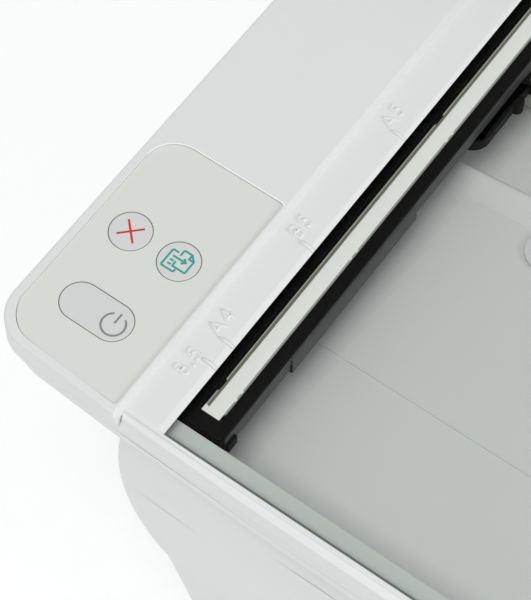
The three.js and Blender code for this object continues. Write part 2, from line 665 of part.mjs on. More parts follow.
add(
  "lid_pad",
  box(
    GLASS.x0 + PAD.inset, GLASS.x1 - PAD.inset, GLASS.y0 + PAD.inset, GLASS.y1 - PAD.inset, PAD.z0,
    PAD.z1,
  ),
  foam,
  lid,
);
HINGE_XS.forEach((x, i) => {
  add(
    "hinge_pin_" + HINGE_NAMES[i], bar("x", HINGE.r - GAP, x - 12, x + 12, HINGE.y, HINGE.z, 16), steel,
    lid,
  );
  const post = box(x - 8, x + 8, HINGE.y - 5, HINGE.y + 5, SKIRT_Z - 8, STRIP_Z + 0.2)
    .add(stretchX([
      [HINGE.y - 3.6, STRIP_Z], [HINGE.y + 3.6, STRIP_Z],
      [HINGE.y + 3.6, HINGE.z + 1.5], [HINGE.y + 1.5, HINGE.z + 3.6],
      [HINGE.y - 1.5, HINGE.z + 3.6], [HINGE.y - 3.6, HINGE.z + 1.5],
    ], x - 8, x + 8))
    .subtract(bar("x", HINGE.r + 0.05, x - 9, x + 9, HINGE.y, HINGE.z, 16));
  add("hinge_post_" + HINGE_NAMES[i], post, white);
});

// ---------- lower housing ----------
// How far the sides are drawn in at height z: rounded over at the top, curving in below the belly.
function sideInset(z) {
  const over = z - BELLY_Z;
  if (over > 0) return 3 * (over / (HOUSING.top - BELLY_Z)) ** 2.2;
  const curveR = 80;
  const curveEnd = 36;
  const drop = Math.min(-over, curveEnd);
  const curved = curveR - Math.sqrt(curveR ** 2 - drop ** 2);
  return curved + 0.2 * Math.max(0, -over - curveEnd);
}
function housingRing(z, inward) {
  const side = sideInset(z);
  const front = z > BELLY_Z ? side : side * 0.3;
  const { x0, x1, y0, y1, r } = HOUSING;
  return ring(
    x0 + side + inward, x1 - side - inward, y0 + front + inward, y1 - inward, z,
    Math.max(r - inward, 2), 8 - inward,
  );
}
const LEVELS = [HOUSING.bottom, 30, 50, 64, 70, 78, 86, 96, 106, 114, 121, HOUSING.top];
const housingOuter = loft(LEVELS.map((z) => housingRing(z, 0)));
const housingInner = loft(
  [HOUSING.bottom - 1, ...LEVELS.slice(1, -1), HOUSING.top + 1].map((z) => {
    const clamped = Math.min(Math.max(z, HOUSING.bottom), HOUSING.top);
    return housingRing(clamped, WALL).map((p) => new THREE.Vector3(p.x, p.y, z));
  }),
);
const housingSkin = housingOuter.subtract(housingInner);
const DOOR_GAP = 0.7;
const DOOR_SWING = 1.5; // room under the door for its lower edge as it turns
const DOOR_HINGE = { y: -146.3, z: DOOR.z0 + 1.6, r: 0.8 };
function lowerHousing() {
  let body = housingSkin;
  body = body.subtract(box(OUTPUT.x0, OUTPUT.x1, FRONT - 2, -120, HOUSING.bottom - 1, OUTPUT.z1));
  body = body.subtract(
    box(
      DOOR.x0 - DOOR_GAP, DOOR.x1 + DOOR_GAP, FRONT - 2, -120, DOOR.z0 - DOOR_SWING, DOOR.z1 + DOOR_GAP,
    )
  );
  for (const [a, b] of [[DOOR.x0 - 4, DOOR.x0], [DOOR.x1, DOOR.x1 + 4]]) {
    body = body.subtract(bar("x", DOOR_HINGE.r + 0.2, a, b, DOOR_HINGE.y, DOOR_HINGE.z, 12));
  }
  // Sockets at the back: mains inlet on the right, data port on the left.
  body = body.subtract(
    box(INLET.x0 - GAP, INLET.x1 + GAP, BACK - 6, BACK + 2, INLET.z0 - GAP, INLET.z1 + GAP)
  );
  return body.subtract(box(PORT.x0 - GAP, PORT.x1 + GAP, BACK - 6, BACK + 2, PORT.z0 - GAP, PORT.z1 + GAP));
}
const INLET = { x0: 132, x1: 156, z0: 20, z1: 36 };
const PORT = { x0: -152, x1: -138, z0: 16, z1: 28 };
add("lower_housing", lowerHousing(), white);

// Door in front of the cartridges. Its hinge line runs through the wall's thickness, near its bottom edge.
function cartridgeDoor() {
  let body = housingSkin.intersect(box(DOOR.x0, DOOR.x1, FRONT - 2, -120, DOOR.z0, DOOR.z1));
  // Finger lip at the top, and a pin at each end.
  body = body.add(box(-20, 40, -149, -144.5, DOOR.z1 - 3, DOOR.z1 - 1));
  for (const [a, b] of [[DOOR.x0 - 3, DOOR.x0 + 3], [DOOR.x1 - 3, DOOR.x1 + 3]]) {
    body = body.add(bar("x", DOOR_HINGE.r, a, b, DOOR_HINGE.y, DOOR_HINGE.z, 12));
  }
  return body;
}
add("cartridge_door", cartridgeDoor(), white);

// Bottom pan and its four feet.
const PAN_TOP = 6.4;
const basePlate = loft(
  [
    housingRing(HOUSING.bottom, 3).map((p) => p.clone().setZ(FOOT_H)),
    housingRing(HOUSING.bottom, 0.2).map((p) => p.clone().setZ(PAN_TOP)),
  ]
);
const FOOT_XY = [[-145, -125], [165, -125], [-145, 128], [165, 128]];
const FOOT_NAMES = ["front_left", "front_right", "rear_left", "rear_right"];
let basePan = basePlate.add(box(-150, 170, -40, 130, PAN_TOP - 0.5, PAN_TOP + 1.6));
FOOT_XY.forEach(([x, y]) => {
  basePan = basePan.subtract(bar("z", 8.3, 0, FOOT_H + 1.3, x, y, 20));
});
add("base_pan", basePan, darkGrey);
FOOT_XY.forEach(([x, y], i) => {
  const profile = [
    [0, 0], [6.6, 0], [7.6, 0.8], [8, 1.6], [8, FOOT_H + 1], [0, FOOT_H + 1],
  ].map(([r, z]) => new THREE.Vector2(r, z));
  add(
    "foot_" + FOOT_NAMES[i],
    solid(new THREE.LatheGeometry(profile, 20).rotateX(Math.PI / 2).translate(x, y, 0)), rubber,
  );
});

// ---------- output tray ----------
const TRAY = { x0: -108, x1: 128, y0: -150.4, y1: -52, z0: 12, z1: 16 };
const EXTENDER = { x0: -30, x1: 50, y0: -150.8, y1: -66, z0: TRAY.z1 + 0.4, z1: TRAY.z1 + 2.6 };
const trayBlank = raise(roundedRect(TRAY.x0, TRAY.x1, TRAY.y0, TRAY.y1, 6), TRAY.z0, TRAY.z1, 5)
  .add(raise(roundedRect(TRAY.x0, TRAY.x0 + 5, TRAY.y0 + 8, TRAY.y1, 2), TRAY.z1 - 0.5, TRAY.z1 + 4, 3))
  .add(raise(roundedRect(TRAY.x1 - 5, TRAY.x1, TRAY.y0 + 8, TRAY.y1, 2), TRAY.z1 - 0.5, TRAY.z1 + 4, 3))
  .add(box(EXTENDER.x0 - 3, EXTENDER.x0 - 0.4, TRAY.y0 + 8, TRAY.y1 - 2, TRAY.z1 - 0.5, EXTENDER.z1))
  .add(box(EXTENDER.x1 + 0.4, EXTENDER.x1 + 3, TRAY.y0 + 8, TRAY.y1 - 2, TRAY.z1 - 0.5, EXTENDER.z1));
add("output_tray", trayBlank, darkGrey);
const extender = raise(
  roundedRect(EXTENDER.x0, EXTENDER.x1, EXTENDER.y0, EXTENDER.y1, 4), EXTENDER.z0, EXTENDER.z1, 4,
);
add("tray_extender", extender, darkGrey);
const STOP = { x0: -22, x1: 42, y0: -147, y1: -110, z0: EXTENDER.z1 + 0.4, z1: EXTENDER.z1 + 2.4 };
add("paper_stop", raise(roundedRect(STOP.x0, STOP.x1, STOP.y0, STOP.y1, 3), STOP.z0, STOP.z1, 4), darkGrey);

// ---------- paper input ----------
const SLOT = { x0: -112, x1: 112, y0: 119, y1: 138 };
const SUPPORT_LEAN = THREE.MathUtils.degToRad(15);
const SUPPORT = { x0: -95, x1: 95, y: 146.2, z: PANEL_Z - 1.5, length: 88, thick: 2.4 };
function supportPlate(grow, up) {
  const lean = [Math.sin(SUPPORT_LEAN), Math.cos(SUPPORT_LEAN)];
  const across = [lean[1], -lean[0]];
  const half = SUPPORT.thick / 2 + grow;
  const at = (along, side) => [
    SUPPORT.y + lean[0] * along + across[0] * side, SUPPORT.z + lean[1] * along + across[1] * side,
  ];
  return stretchX(
    [at(-SUPPORT.length, half), at(up, half), at(up, -half), at(-SUPPORT.length, -half)].reverse(),
    SUPPORT.x0 - grow, SUPPORT.x1 + grow,
  );
}
function rearCover() {
  const { x0, x1 } = HOUSING;
  let body = loft([
    ring(x0 + 3, x1 - 3, TOP_BACK_Y + GAP, BACK, SKIRT_Z + 0.2, 2, 8),
    ring(x0 + 3, x1 - 3, TOP_BACK_Y + GAP, BACK - 0.4, PANEL_Z - 1.2, 2, 8),
    ring(x0 + 4, x1 - 4, TOP_BACK_Y + GAP + 1, BACK - 1.4, PANEL_Z, 1.5, 7),
  ].map(
    (points) => points.map(
      (p) => (p.y < BACK - 10 ? p.clone().setY(p.y - (p.y < TOP_BACK_Y + 12 ? bow(p.x) : 0)) : p)
    )
  ));
  body = body.subtract(box(x0 + 7, x1 - 7, TOP_BACK_Y + 4, BACK - 4, SKIRT_Z - 1, PANEL_Z - 2.4));
  body = body.subtract(box(SLOT.x0, SLOT.x1, SLOT.y0, SLOT.y1, SKIRT_Z - 1, PANEL_Z + 1));
  return body.subtract(supportPlate(GAP, 10));
}
add("rear_cover", rearCover(), white);
add("paper_support", supportPlate(0, 1.2), white);

// Sloping deck that the paper slides down to the feed roller.
const DECK = { x0: -114, x1: 114, top: [133, 124.5], bottom: [44, 50], thick: 2.2 };
function deckLine(y) {
  const share = (y - DECK.bottom[0]) / (DECK.top[0] - DECK.bottom[0]);
  return DECK.bottom[1] + share * (DECK.top[1] - DECK.bottom[1]);
}
add(
  "paper_deck",
  stretchX([
    [DECK.bottom[0], DECK.bottom[1] - 3], [DECK.top[0], DECK.top[1] - 3],
    [DECK.top[0], DECK.top[1]], [DECK.bottom[0], DECK.bottom[1]],
  ], DECK.x0, DECK.x1),
  darkGrey,
);
// Edge guide that slides along the slot.
const GUIDE = { x: -108, thick: 3, y0: 121, y1: 134 };
add(
  "paper_guide",
  stretchX([
    [GUIDE.y0, deckLine(GUIDE.y0) + 0.5], [132, deckLine(132) + 0.5], [GUIDE.y1, 126],
    [GUIDE.y1, 140], [GUIDE.y0 + 4, 143], [GUIDE.y0, 141],
  ], GUIDE.x, GUIDE.x + GUIDE.thick)
    .add(box(GUIDE.x, GUIDE.x + 16, 130, GUIDE.y1, 128, 140)),
  darkGrey,
);

// ---------- paper feed ----------
const feedPitchR = (FEED_TEETH * MODULE) / 2;
const idlerPitchR = (IDLER_TEETH * MODULE) / 2;
const exitPitchR = (EXIT_TEETH * MODULE) / 2;
const motorPitchR = (MOTOR_TEETH * MODULE) / 2;
const trainLength = feedPitchR + 2 * idlerPitchR + exitPitchR;
const toExit = Math.atan2(-EXIT_DROP, -Math.sqrt(trainLength ** 2 - EXIT_DROP ** 2));
function along(from, distance, angle) {
  return { y: from.y + distance * Math.cos(angle), z: from.z + distance * Math.sin(angle) };
}
const EXIT = along(FEED, trainLength, toExit);
const IDLER = along(FEED, feedPitchR + idlerPitchR, toExit);
const TO_MOTOR = THREE.MathUtils.degToRad(-40);
const FEED_MOTOR = along(FEED, feedPitchR + motorPitchR, TO_MOTOR);
const GEAR_X = { x0: -140, x1: -135 };
const feedPhase = toExit;
const idlerPhase = meshPhase(feedPhase, FEED_TEETH, IDLER_TEETH, toExit);
const exitPhase = meshPhase(idlerPhase, IDLER_TEETH, EXIT_TEETH, toExit);
const motorPhase = meshPhase(feedPhase, FEED_TEETH, MOTOR_TEETH, TO_MOTOR);

// Stretches of a shaft with `count` rollers of `width` spread between a and b.
function rollerStretches(shaftR, rollerR, start, a, b, count, width) {
  const stretches = [[start, shaftR]];
  for (let i = 0; i < count; i++) {
    const x = a + ((b - a - width) * i) / (count - 1);
    stretches.push([x, rollerR], [x + width, shaftR]);
  }
  return stretches;
}
add(
  "feed_roller",
  shaftX(rollerStretches(FEED.r, FEED.rollerR, -128, -104, 104, 5, 24), 118, FEED.y, FEED.z), rubber,
);
add("feed_gear", gearX(FEED_TEETH, feedPhase, 0, GEAR_X.x0, GEAR_X.x1, FEED.y, FEED.z)
  .add(bar("x", 6, GEAR_X.x1 - 0.5, -128.4, FEED.y, FEED.z, 14)), nylon);
add("idler_gear", gearX(IDLER_TEETH, idlerPhase, 3, GEAR_X.x0, GEAR_X.x1, IDLER.y, IDLER.z), nylon);
add("exit_gear", gearX(EXIT_TEETH, exitPhase, 0, GEAR_X.x0, GEAR_X.x1, EXIT.y, EXIT.z)
  .add(bar("x", 4.5, GEAR_X.x1 - 0.5, -128.4, EXIT.y, EXIT.z, 14)), nylon);
add("exit_roller", shaftX(rollerStretches(2.5, 5, -128, -100, 100, 5, 10), 118, EXIT.y, EXIT.z), rubber);
add("feed_motor_gear", gearX(MOTOR_TEETH, motorPhase, 0, GEAR_X.x0, GEAR_X.x1, FEED_MOTOR.y, FEED_MOTOR.z)
  .add(bar("x", 1.5, -146, GEAR_X.x0 + 1, FEED_MOTOR.y, FEED_MOTOR.z, 10)), nylon);

// Side frame that carries the gears, with the feed motor on its outside.
const FRAME = { x0: -147.5, x1: -145, y0: -62, y1: 51, z0: 8.6, z1: 100 };
let sideFrame = box(FRAME.x0, FRAME.x1, FRAME.y0, FRAME.y1, FRAME.z0, FRAME.z1)
  .add(bar("x", 2.6, FRAME.x1 - 1, GEAR_X.x1 + 1, IDLER.y, IDLER.z, 14))
  .subtract(bar("x", 2.2, FRAME.x0 - 1, FRAME.x1 + 1, FEED_MOTOR.y, FEED_MOTOR.z, 14));
sideFrame = sideFrame.subtract(
  bar("x", CARRIAGE_ROD.r + GAP, FRAME.x0 - 1, FRAME.x1 + 1, CARRIAGE_ROD.y, CARRIAGE_ROD.z, 16)
);
sideFrame = sideFrame.subtract(
  box(FRAME.x0 - 1, FRAME.x1 + 1, BELT.y0 - 3, BELT.y1 + 3, BELT.z - 9, BELT.z + 9)
);
add("side_frame", sideFrame, steel);
add("feed_motor", bar("x", 12, -160.5, FRAME.x0 - GAP, FEED_MOTOR.y, FEED_MOTOR.z, 20), steel);

// D-shaped pick roller over the deck.
const PICK = { y: 80, z: 96.6, r: 9 };
const pickShape = [];
for (let i = 0; i <= 18; i++) {
  const a = THREE.MathUtils.degToRad(-10 + (i / 18) * 280);
  pickShape.push([PICK.y + PICK.r * Math.cos(a), PICK.z + PICK.r * Math.sin(a)]);
}
add("pick_roller", stretchX(pickShape, -16, 16).add(bar("x", 2.5, -40, 40, PICK.y, PICK.z, 12)), rubber);

// Platen between the two rollers, its top just under their tops.
const platen = stretchX([
  [FEED.y - 10, 40], [FEED.y - 10, 56], [EXIT.y + 9, 45], [EXIT.y + 9, 32], [EXIT.y + 14, 32],
  [FEED.y - 20, 40],
], -118, 118);
add("platen", platen, black);

// ---------- print carriage ----------
add("carriage_rod", bar("x", CARRIAGE_ROD.r, -149, 190, CARRIAGE_ROD.y, CARRIAGE_ROD.z, 18), steel);
add(
  "carriage_rail",
  stretchX([[44, 60], [46, 60], [46, 102], [28, 102], [28, 100.2], [44, 100.2]], FRAME.x0 + 4, 190),
  steel,
);
const POCKET_W = 26;
const CARTRIDGE_XS = [CARRIAGE.x0 + 4, CARRIAGE.x0 + 32];
function printCarriage() {
  const { x0, x1, y0, y1, z0, z1 } = CARRIAGE;
  let body = box(x0, x1, y0, y1, z0, z1 - 8).add(box(x0, x1, y1 - 2, CARRIAGE_ROD.y + 6, z0, z0 + 18));
  for (const x of CARTRIDGE_XS) {
    body = body.subtract(box(x, x + POCKET_W, y0 - 1, y1 - 3, z0 + 3, z1 + 1));
    body = body.subtract(box(x + 6, x + POCKET_W - 6, y0 + 6, y0 + 30, z0 - 1, z0 + 4));
  }
  // Clip that holds the belt's lower run.
  body = body.add(
    box(
      x0 + 20, x0 + 40, CARRIAGE_ROD.y - 5, CARRIAGE_ROD.y + 6, z0 + 17,
      BELT.z - BELT.r - BELT.thick - GAP,
    )
  );
  body = body.add(box(x0 + 20, x0 + 40, BELT.y0 - 3.5, BELT.y0 - GAP, z0 + 17, BELT.z - BELT.r + 2));
  return body.subtract(bar("x", CARRIAGE_ROD.r + GAP, x0 - 1, x1 + 1, CARRIAGE_ROD.y, CARRIAGE_ROD.z, 18));
}
add("print_carriage", printCarriage(), black);
["black_cartridge", "colour_cartridge"].forEach((name, i) => {
  const x = CARTRIDGE_XS[i] + 0.5;
  const y = CARRIAGE.y0;
  const body = box(x, x + POCKET_W - 1, y + 0.5, CARRIAGE.y1 - 3.5, CARRIAGE.z0 + 3.5, CARRIAGE.z1 - 6)
    .add(box(x + 6, x + POCKET_W - 7, y + 7, y + 29, CARRIAGE.z0 - 1.8, CARRIAGE.z0 + 4))
    .add(box(x + 5, x + POCKET_W - 6, y - 3, y + 1, CARRIAGE.z1 - 14, CARRIAGE.z1 - 10));
  add(name, body, i === 0 ? darkGrey : lensOlive);
});

// Toothed belt loop, its two pulleys and the motor.
function beltLoop(r) {
  const s = new THREE.Shape();
  s.moveTo(BELT.x0, BELT.z - r);
  s.lineTo(BELT.x1 - 8, BELT.z - r);
  s.absarc(BELT.x1 - 8, BELT.z, r, -Math.PI / 2, Math.PI / 2, false);
  s.lineTo(BELT.x0, BELT.z + r);
  s.absarc(BELT.x0, BELT.z, r, Math.PI / 2, Math.PI * 1.5, false);
  return s;
}
function beltSolid(r, y0, y1) {
  const g = new THREE.ExtrudeGeometry(
    beltLoop(r), { depth: y1 - y0, bevelEnabled: false, curveSegments: 8 },
  );
  return solid(g.rotateX(Math.PI / 2).translate(0, y1, 0));
}
add(
  "drive_belt",
  beltSolid(BELT.r + BELT.thick, BELT.y0, BELT.y1).subtract(
    beltSolid(BELT.r, BELT.y0 - 1, BELT.y1 + 1)
  ),
  rubber,
);
const PULLEY_R = BELT.r - GAP;
add("motor_pulley", bar("y", PULLEY_R, BELT.y0 - 0.5, BELT.y1 + 0.5, BELT.x0, BELT.z, 20)
  .add(bar("y", 1.5, BELT.y1, 52.5, BELT.x0, BELT.z, 10)), nylon);
add("idler_pulley", bar("y", PULLEY_R, BELT.y0 - 0.5, BELT.y1 + 0.5, BELT.x1 - 8, BELT.z, 20), nylon);
add(
  "carriage_motor",
  bar("y", 12, 53, 78, BELT.x0 + 2.5, BELT.z, 22).subtract(bar("y", 2, 50, 56, BELT.x0, BELT.z, 10)),
  steel,
);

// ---------- service station, electronics ----------
const STATION = { x0: 124, x1: 181, y0: -24, y1: 26, z1: 50 };
let station = box(STATION.x0, STATION.x1, STATION.y0, STATION.y1, PAN_TOP + 2, STATION.z1);
for (const x of CARTRIDGE_XS) station = station.add(
  raise(roundedRect(x + 6, x + POCKET_W - 6, -14, 6, 3), STATION.z1 - 1, STATION.z1 + 6, 4)
);
add("service_station", station, darkGrey);
let mainBoard = box(-150, -70, 70, 146, 9, 10.6).add(
  box(-120, -100, 95, 115, 10.4, 13)
).add(box(-92, -80, 80, 104, 10.4, 16));
add("main_board", mainBoard, board);
add(
  "data_port",
  box(PORT.x0, PORT.x1, 134, BACK - 0.4, PORT.z0, PORT.z1).subtract(
    box(PORT.x0 + 3, PORT.x1 - 3, 140, BACK + 1, PORT.z0 + 3, PORT.z1 - 3)
  ),
  steel,
);
add("power_supply", box(92, 180, 68, 138, 9, 46), black);
add("mains_inlet", box(INLET.x0, INLET.x1, 138.4, BACK - 0.4, INLET.z0, INLET.z1)
  .subtract(raiseY(pill(INLET.x0 + 7, INLET.x1 - 7, (INLET.z0 + INLET.z1) / 2, 4), 142, BACK + 1)), black);

// An outline in X and Z stretched along Y.
function raiseY(shape, y0, y1) {
  const g = new THREE.ExtrudeGeometry(shape, { depth: y1 - y0, bevelEnabled: false, curveSegments: 6 });
  return solid(g.rotateX(Math.PI / 2).translate(0, y1, 0));
}

export default printer;
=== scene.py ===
import json
import math

import bmesh
import bpy
from mathutils import Matrix, Vector


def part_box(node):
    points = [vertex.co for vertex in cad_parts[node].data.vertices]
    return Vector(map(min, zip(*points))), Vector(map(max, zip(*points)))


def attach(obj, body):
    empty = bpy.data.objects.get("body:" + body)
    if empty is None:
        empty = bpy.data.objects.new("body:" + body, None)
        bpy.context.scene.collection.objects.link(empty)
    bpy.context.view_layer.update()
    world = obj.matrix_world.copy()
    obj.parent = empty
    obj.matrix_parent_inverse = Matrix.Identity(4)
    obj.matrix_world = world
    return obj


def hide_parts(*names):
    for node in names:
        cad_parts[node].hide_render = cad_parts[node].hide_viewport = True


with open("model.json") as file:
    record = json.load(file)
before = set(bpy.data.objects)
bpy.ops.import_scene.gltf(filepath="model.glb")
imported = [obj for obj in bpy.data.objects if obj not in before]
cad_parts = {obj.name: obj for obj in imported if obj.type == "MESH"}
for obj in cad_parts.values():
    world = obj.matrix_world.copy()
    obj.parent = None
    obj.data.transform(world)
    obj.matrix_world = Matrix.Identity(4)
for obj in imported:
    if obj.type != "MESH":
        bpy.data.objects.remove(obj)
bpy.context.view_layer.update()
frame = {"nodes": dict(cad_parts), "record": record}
MM = 0.001  # the outlines below are in millimetres


# ---------- sizes, from the frame ----------
def box(node):
    low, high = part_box(node)
    return Vector(low) / MM, Vector(high) / MM


BEZEL_LO, BEZEL_HI = box("scanner_bezel")
GLASS_LO, GLASS_HI = box("scanner_glass")
OVERLAY_LO, OVERLAY_HI = box("panel_overlay")
HOUSING_LO, HOUSING_HI = box("lower_housing")
DOOR_LO, DOOR_HI = box("cartridge_door")
BOW = 3.4  # how far the front edge turns back at its ends
BOW_POWER = 6
PANEL_Z = BEZEL_HI.z  # top of the raised panel
STRIP_Z = PANEL_Z - 2  # top of the paper-size strip
LIP_Z = BEZEL_LO.z + 5  # the unit's widest line
GLASS_UNDER = 3.5  # how far the glass reaches under the frame round it
OPEN_X0 = GLASS_LO.x + GLASS_UNDER
OPEN_X1 = GLASS_HI.x - GLASS_UNDER
OPEN_Y0 = GLASS_LO.y
OPEN_Y1 = GLASS_HI.y - GLASS_UNDER
STRIP_X0 = OPEN_X0 - 9.3
PANEL_EDGE_X = STRIP_X0 - 1.0
BEVEL = 1.6  # the slope from the strip down to the glass
CORNER_R = 8.5
CLEAR = 0.3  # gap left round a neighbour
THROUGH = (130, 140)  # heights that a hole through the panel spans
HINGE_CUT = (120, 140)


# ---------- mesh helpers ----------
def bow(x):
    return BOW * abs(x / BEZEL_HI.x) ** BOW_POWER


def ring(x0, x1, y0, y1, z, front_r, back_r, corner_steps=16, front_steps=40):
    """Points round a rounded rectangle whose front side follows the bow."""
    points = []

    def corner(cx, cy, r, start):
        for i in range(corner_steps + 1):
            a = start + i / corner_steps * math.pi / 2
            points.append([cx + r * math.cos(a), cy + r * math.sin(a)])

    corner(x0 + front_r, y0 + front_r, front_r, math.pi)
    for i in range(1, front_steps):
        share = math.sin((i / front_steps - 0.5) * math.pi)
        points.append([(x0 + x1) / 2 + ((x1 - x0) / 2 - front_r) * share, y0])
    corner(x1 - front_r, y0 + front_r, front_r, -math.pi / 2)
    corner(x1 - back_r, y1 - back_r, back_r, 0)
    corner(x0 + back_r, y1 - back_r, back_r, math.pi / 2)
    middle = (y0 + y1) / 2
    return [Vector((x, y + bow(x) if y < middle else y, z)) for x, y in points]


def make(name, verts, faces):
    """A mesh object from points in millimetres."""
    mesh = bpy.data.meshes.new(name)
    mesh.from_pydata([Vector(v) * MM for v in verts], [], faces)
    bm = bmesh.new()
    bm.from_mesh(mesh)
    bmesh.ops.remove_doubles(bm, verts=bm.verts, dist=1e-6)
    bmesh.ops.recalc_face_normals(bm, faces=bm.faces)
    bm.to_mesh(mesh)
    bm.free()
    obj = bpy.data.objects.new(name, mesh)
    bpy.context.scene.collection.objects.link(obj)
    return obj


def loft(name, rings):
    """A closed skin over rings with the same number of points."""
    count = len(rings[0])
    verts = [p for r in rings for p in r]
    faces = []
    for k in range(len(rings) - 1):
        for i in range(count):
            j = (i + 1) % count
            a = k * count
            faces.append((a + i, a + j, a + count + j, a + count + i))
    faces.append(tuple(range(count - 1, -1, -1)))
    top = (len(rings) - 1) * count
    faces.append(tuple(range(top, top + count)))
    return make(name, verts, faces)


def prism(name, outline, z0, z1):
    """An outline in X and Y raised from z0 to z1."""
    return loft(name, [[Vector((x, y, z)) for x, y in outline] for z in (z0, z1)])


def prism_y(name, outline, y0, y1):
    """An outline in X and Z stretched from y0 to y1."""
    return loft(name, [[Vector((x, y, z)) for x, z in outline] for y in (y0, y1)])


def block(name, x0, x1, y0, y1, z0, z1):
    return prism(name, [(x0, y0), (x1, y0), (x1, y1), (x0, y1)], z0, z1)


def arc(cx, cy, r, start, end, steps=14):
    """Points along an arc, its angles in degrees."""
    turn = [math.radians(start + (end - start) * i / steps) for i in range(steps + 1)]
    return [(cx + r * math.cos(a), cy + r * math.sin(a)) for a in turn]


def circle(cx, cy, r):
    return arc(cx, cy, r, 0, 345, 23)


def rounded(x0, x1, y0, y1, r, left_r=None):
    """A rectangle with rounded corners, whose left ones can have a radius of their own."""
    left_r = r if left_r is None else left_r
    return (
        arc(x1 - r, y0 + r, r, -90, 0)
        + arc(x1 - r, y1 - r, r, 0, 90)
        + arc(x0 + left_r, y1 - left_r, left_r, 90, 180)
        + arc(x0 + left_r, y0 + left_r, left_r, 180, 270)
    )


def evaluated(obj):
    """Applies an object's modifiers to its mesh."""
    graph = bpy.context.evaluated_depsgraph_get()
    mesh = bpy.data.meshes.new_from_object(obj.evaluated_get(graph))
    obj.modifiers.clear()
    old = obj.data
    obj.data = mesh
    bpy.data.meshes.remove(old)


def boolean(obj, tools, operation="DIFFERENCE"):
    """Cuts obj with each tool, or joins them, and removes the tools."""
    for tool in tools:
        modifier = obj.modifiers.new("cut", "BOOLEAN")
        modifier.operation = operation
        modifier.object = tool
        modifier.solver = "EXACT"
        evaluated(obj)
        bpy.data.objects.remove(tool)
    return obj


def smooth(obj, angle):
    obj.data.shade_smooth()
    obj.data.set_sharp_from_angle(angle=math.radians(angle))


def clean(obj):
    """Joins coplanar faces, so that a bevel finds only real edges."""
    bm = bmesh.new()
    bm.from_mesh(obj.data)
    bmesh.ops.remove_doubles(bm, verts=bm.verts, dist=2e-6)
    bmesh.ops.dissolve_limit(bm, angle_limit=math.radians(1.2), verts=bm.verts, edges=bm.edges)
    bm.to_mesh(obj.data)
    bm.free()


def bevel(obj, width, angle=30, segments=3):
    """Rounds an object's sharp edges by width millimetres. Its large faces set the shading."""
    modifier = obj.modifiers.new("bevel", "BEVEL")
    modifier.width = width * MM
    modifier.segments = segments
    modifier.limit_method = "ANGLE"
    modifier.angle_limit = math.radians(angle)
    modifier.use_clamp_overlap = True
    smooth(obj, angle)
    flats = obj.modifiers.new("flats", "WEIGHTED_NORMAL")
    flats.keep_sharp = True
    evaluated(obj)


def place(obj, body, slot, material, *nodes):
    """Gives a piece its material, its body and the nodes that it stands for."""
    obj.data.materials.clear()
    obj.data.materials.append(material)
    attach(obj, body)
    if nodes:
        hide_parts(*nodes)
    return obj


# ---------- materials ----------
def principled(name, colour, roughness, metallic=0.0, gloss=0.5):
    """A plain material and its shader node."""
    material = bpy.data.materials.new(name)
    material.use_nodes = True
    shader = material.node_tree.nodes["Principled BSDF"]
    shader.inputs["Base Color"].default_value = (*colour, 1)
    shader.inputs["Roughness"].default_value = roughness
    shader.inputs["Metallic"].default_value = metallic
    shader.inputs["Specular IOR Level"].default_value = gloss
    return material, shader


def textured(
    name, colour, roughness, vary, grain, bump, metallic=0.0, stretch=(1, 1, 1), gloss=0.5
):
    """A moulded or drawn surface.

    Its colour changes slowly by vary. A fine grain moves its roughness and its relief.
    """
    material, shader = principled(name, colour, roughness, metallic, gloss)
    nodes = material.node_tree.nodes
    link = material.node_tree.links.new
    where = nodes.new("ShaderNodeTexCoord")
    mapping = nodes.new("ShaderNodeMapping")
    mapping.inputs["Scale"].default_value = stretch
    link(where.outputs["Object"], mapping.inputs["Vector"])
    slow = nodes.new("ShaderNodeTexNoise")
    slow.inputs["Scale"].default_value = 14.0
    slow.inputs["Detail"].default_value = 3.0
    link(mapping.outputs["Vector"], slow.inputs["Vector"])
    tone = nodes.new("ShaderNodeValToRGB")
    tone.color_ramp.elements[0].position = 0.3
    tone.color_ramp.elements[1].position = 0.7
    tone.color_ramp.elements[0].color = (*(c * (1 - vary) for c in colour), 1)
    tone.color_ramp.elements[1].color = (*(min(1, c * (1 + vary * 0.6)) for c in colour), 1)
    link(slow.outputs["Fac"], tone.inputs["Fac"])
    link(tone.outputs["Color"], shader.inputs["Base Color"])
    fine = nodes.new("ShaderNodeTexNoise")
    fine.inputs["Scale"].default_value = grain
    fine.inputs["Detail"].default_value = 2.0
    link(mapping.outputs["Vector"], fine.inputs["Vector"])
    spread = nodes.new("ShaderNodeMapRange")
    spread.inputs["To Min"].default_value = max(0.02, roughness - 0.06)
    spread.inputs["To Max"].default_value = roughness + 0.06
    link(fine.outputs["Fac"], spread.inputs["Value"])
    link(spread.outputs["Result"], shader.inputs["Roughness"])
    relief = nodes.new("ShaderNodeBump")
    relief.inputs["Strength"].default_value = bump
    relief.inputs["Distance"].default_value = 0.0002
    link(fine.outputs["Fac"], relief.inputs["Height"])
    link(relief.outputs["Normal"], shader.inputs["Normal"])
    return material


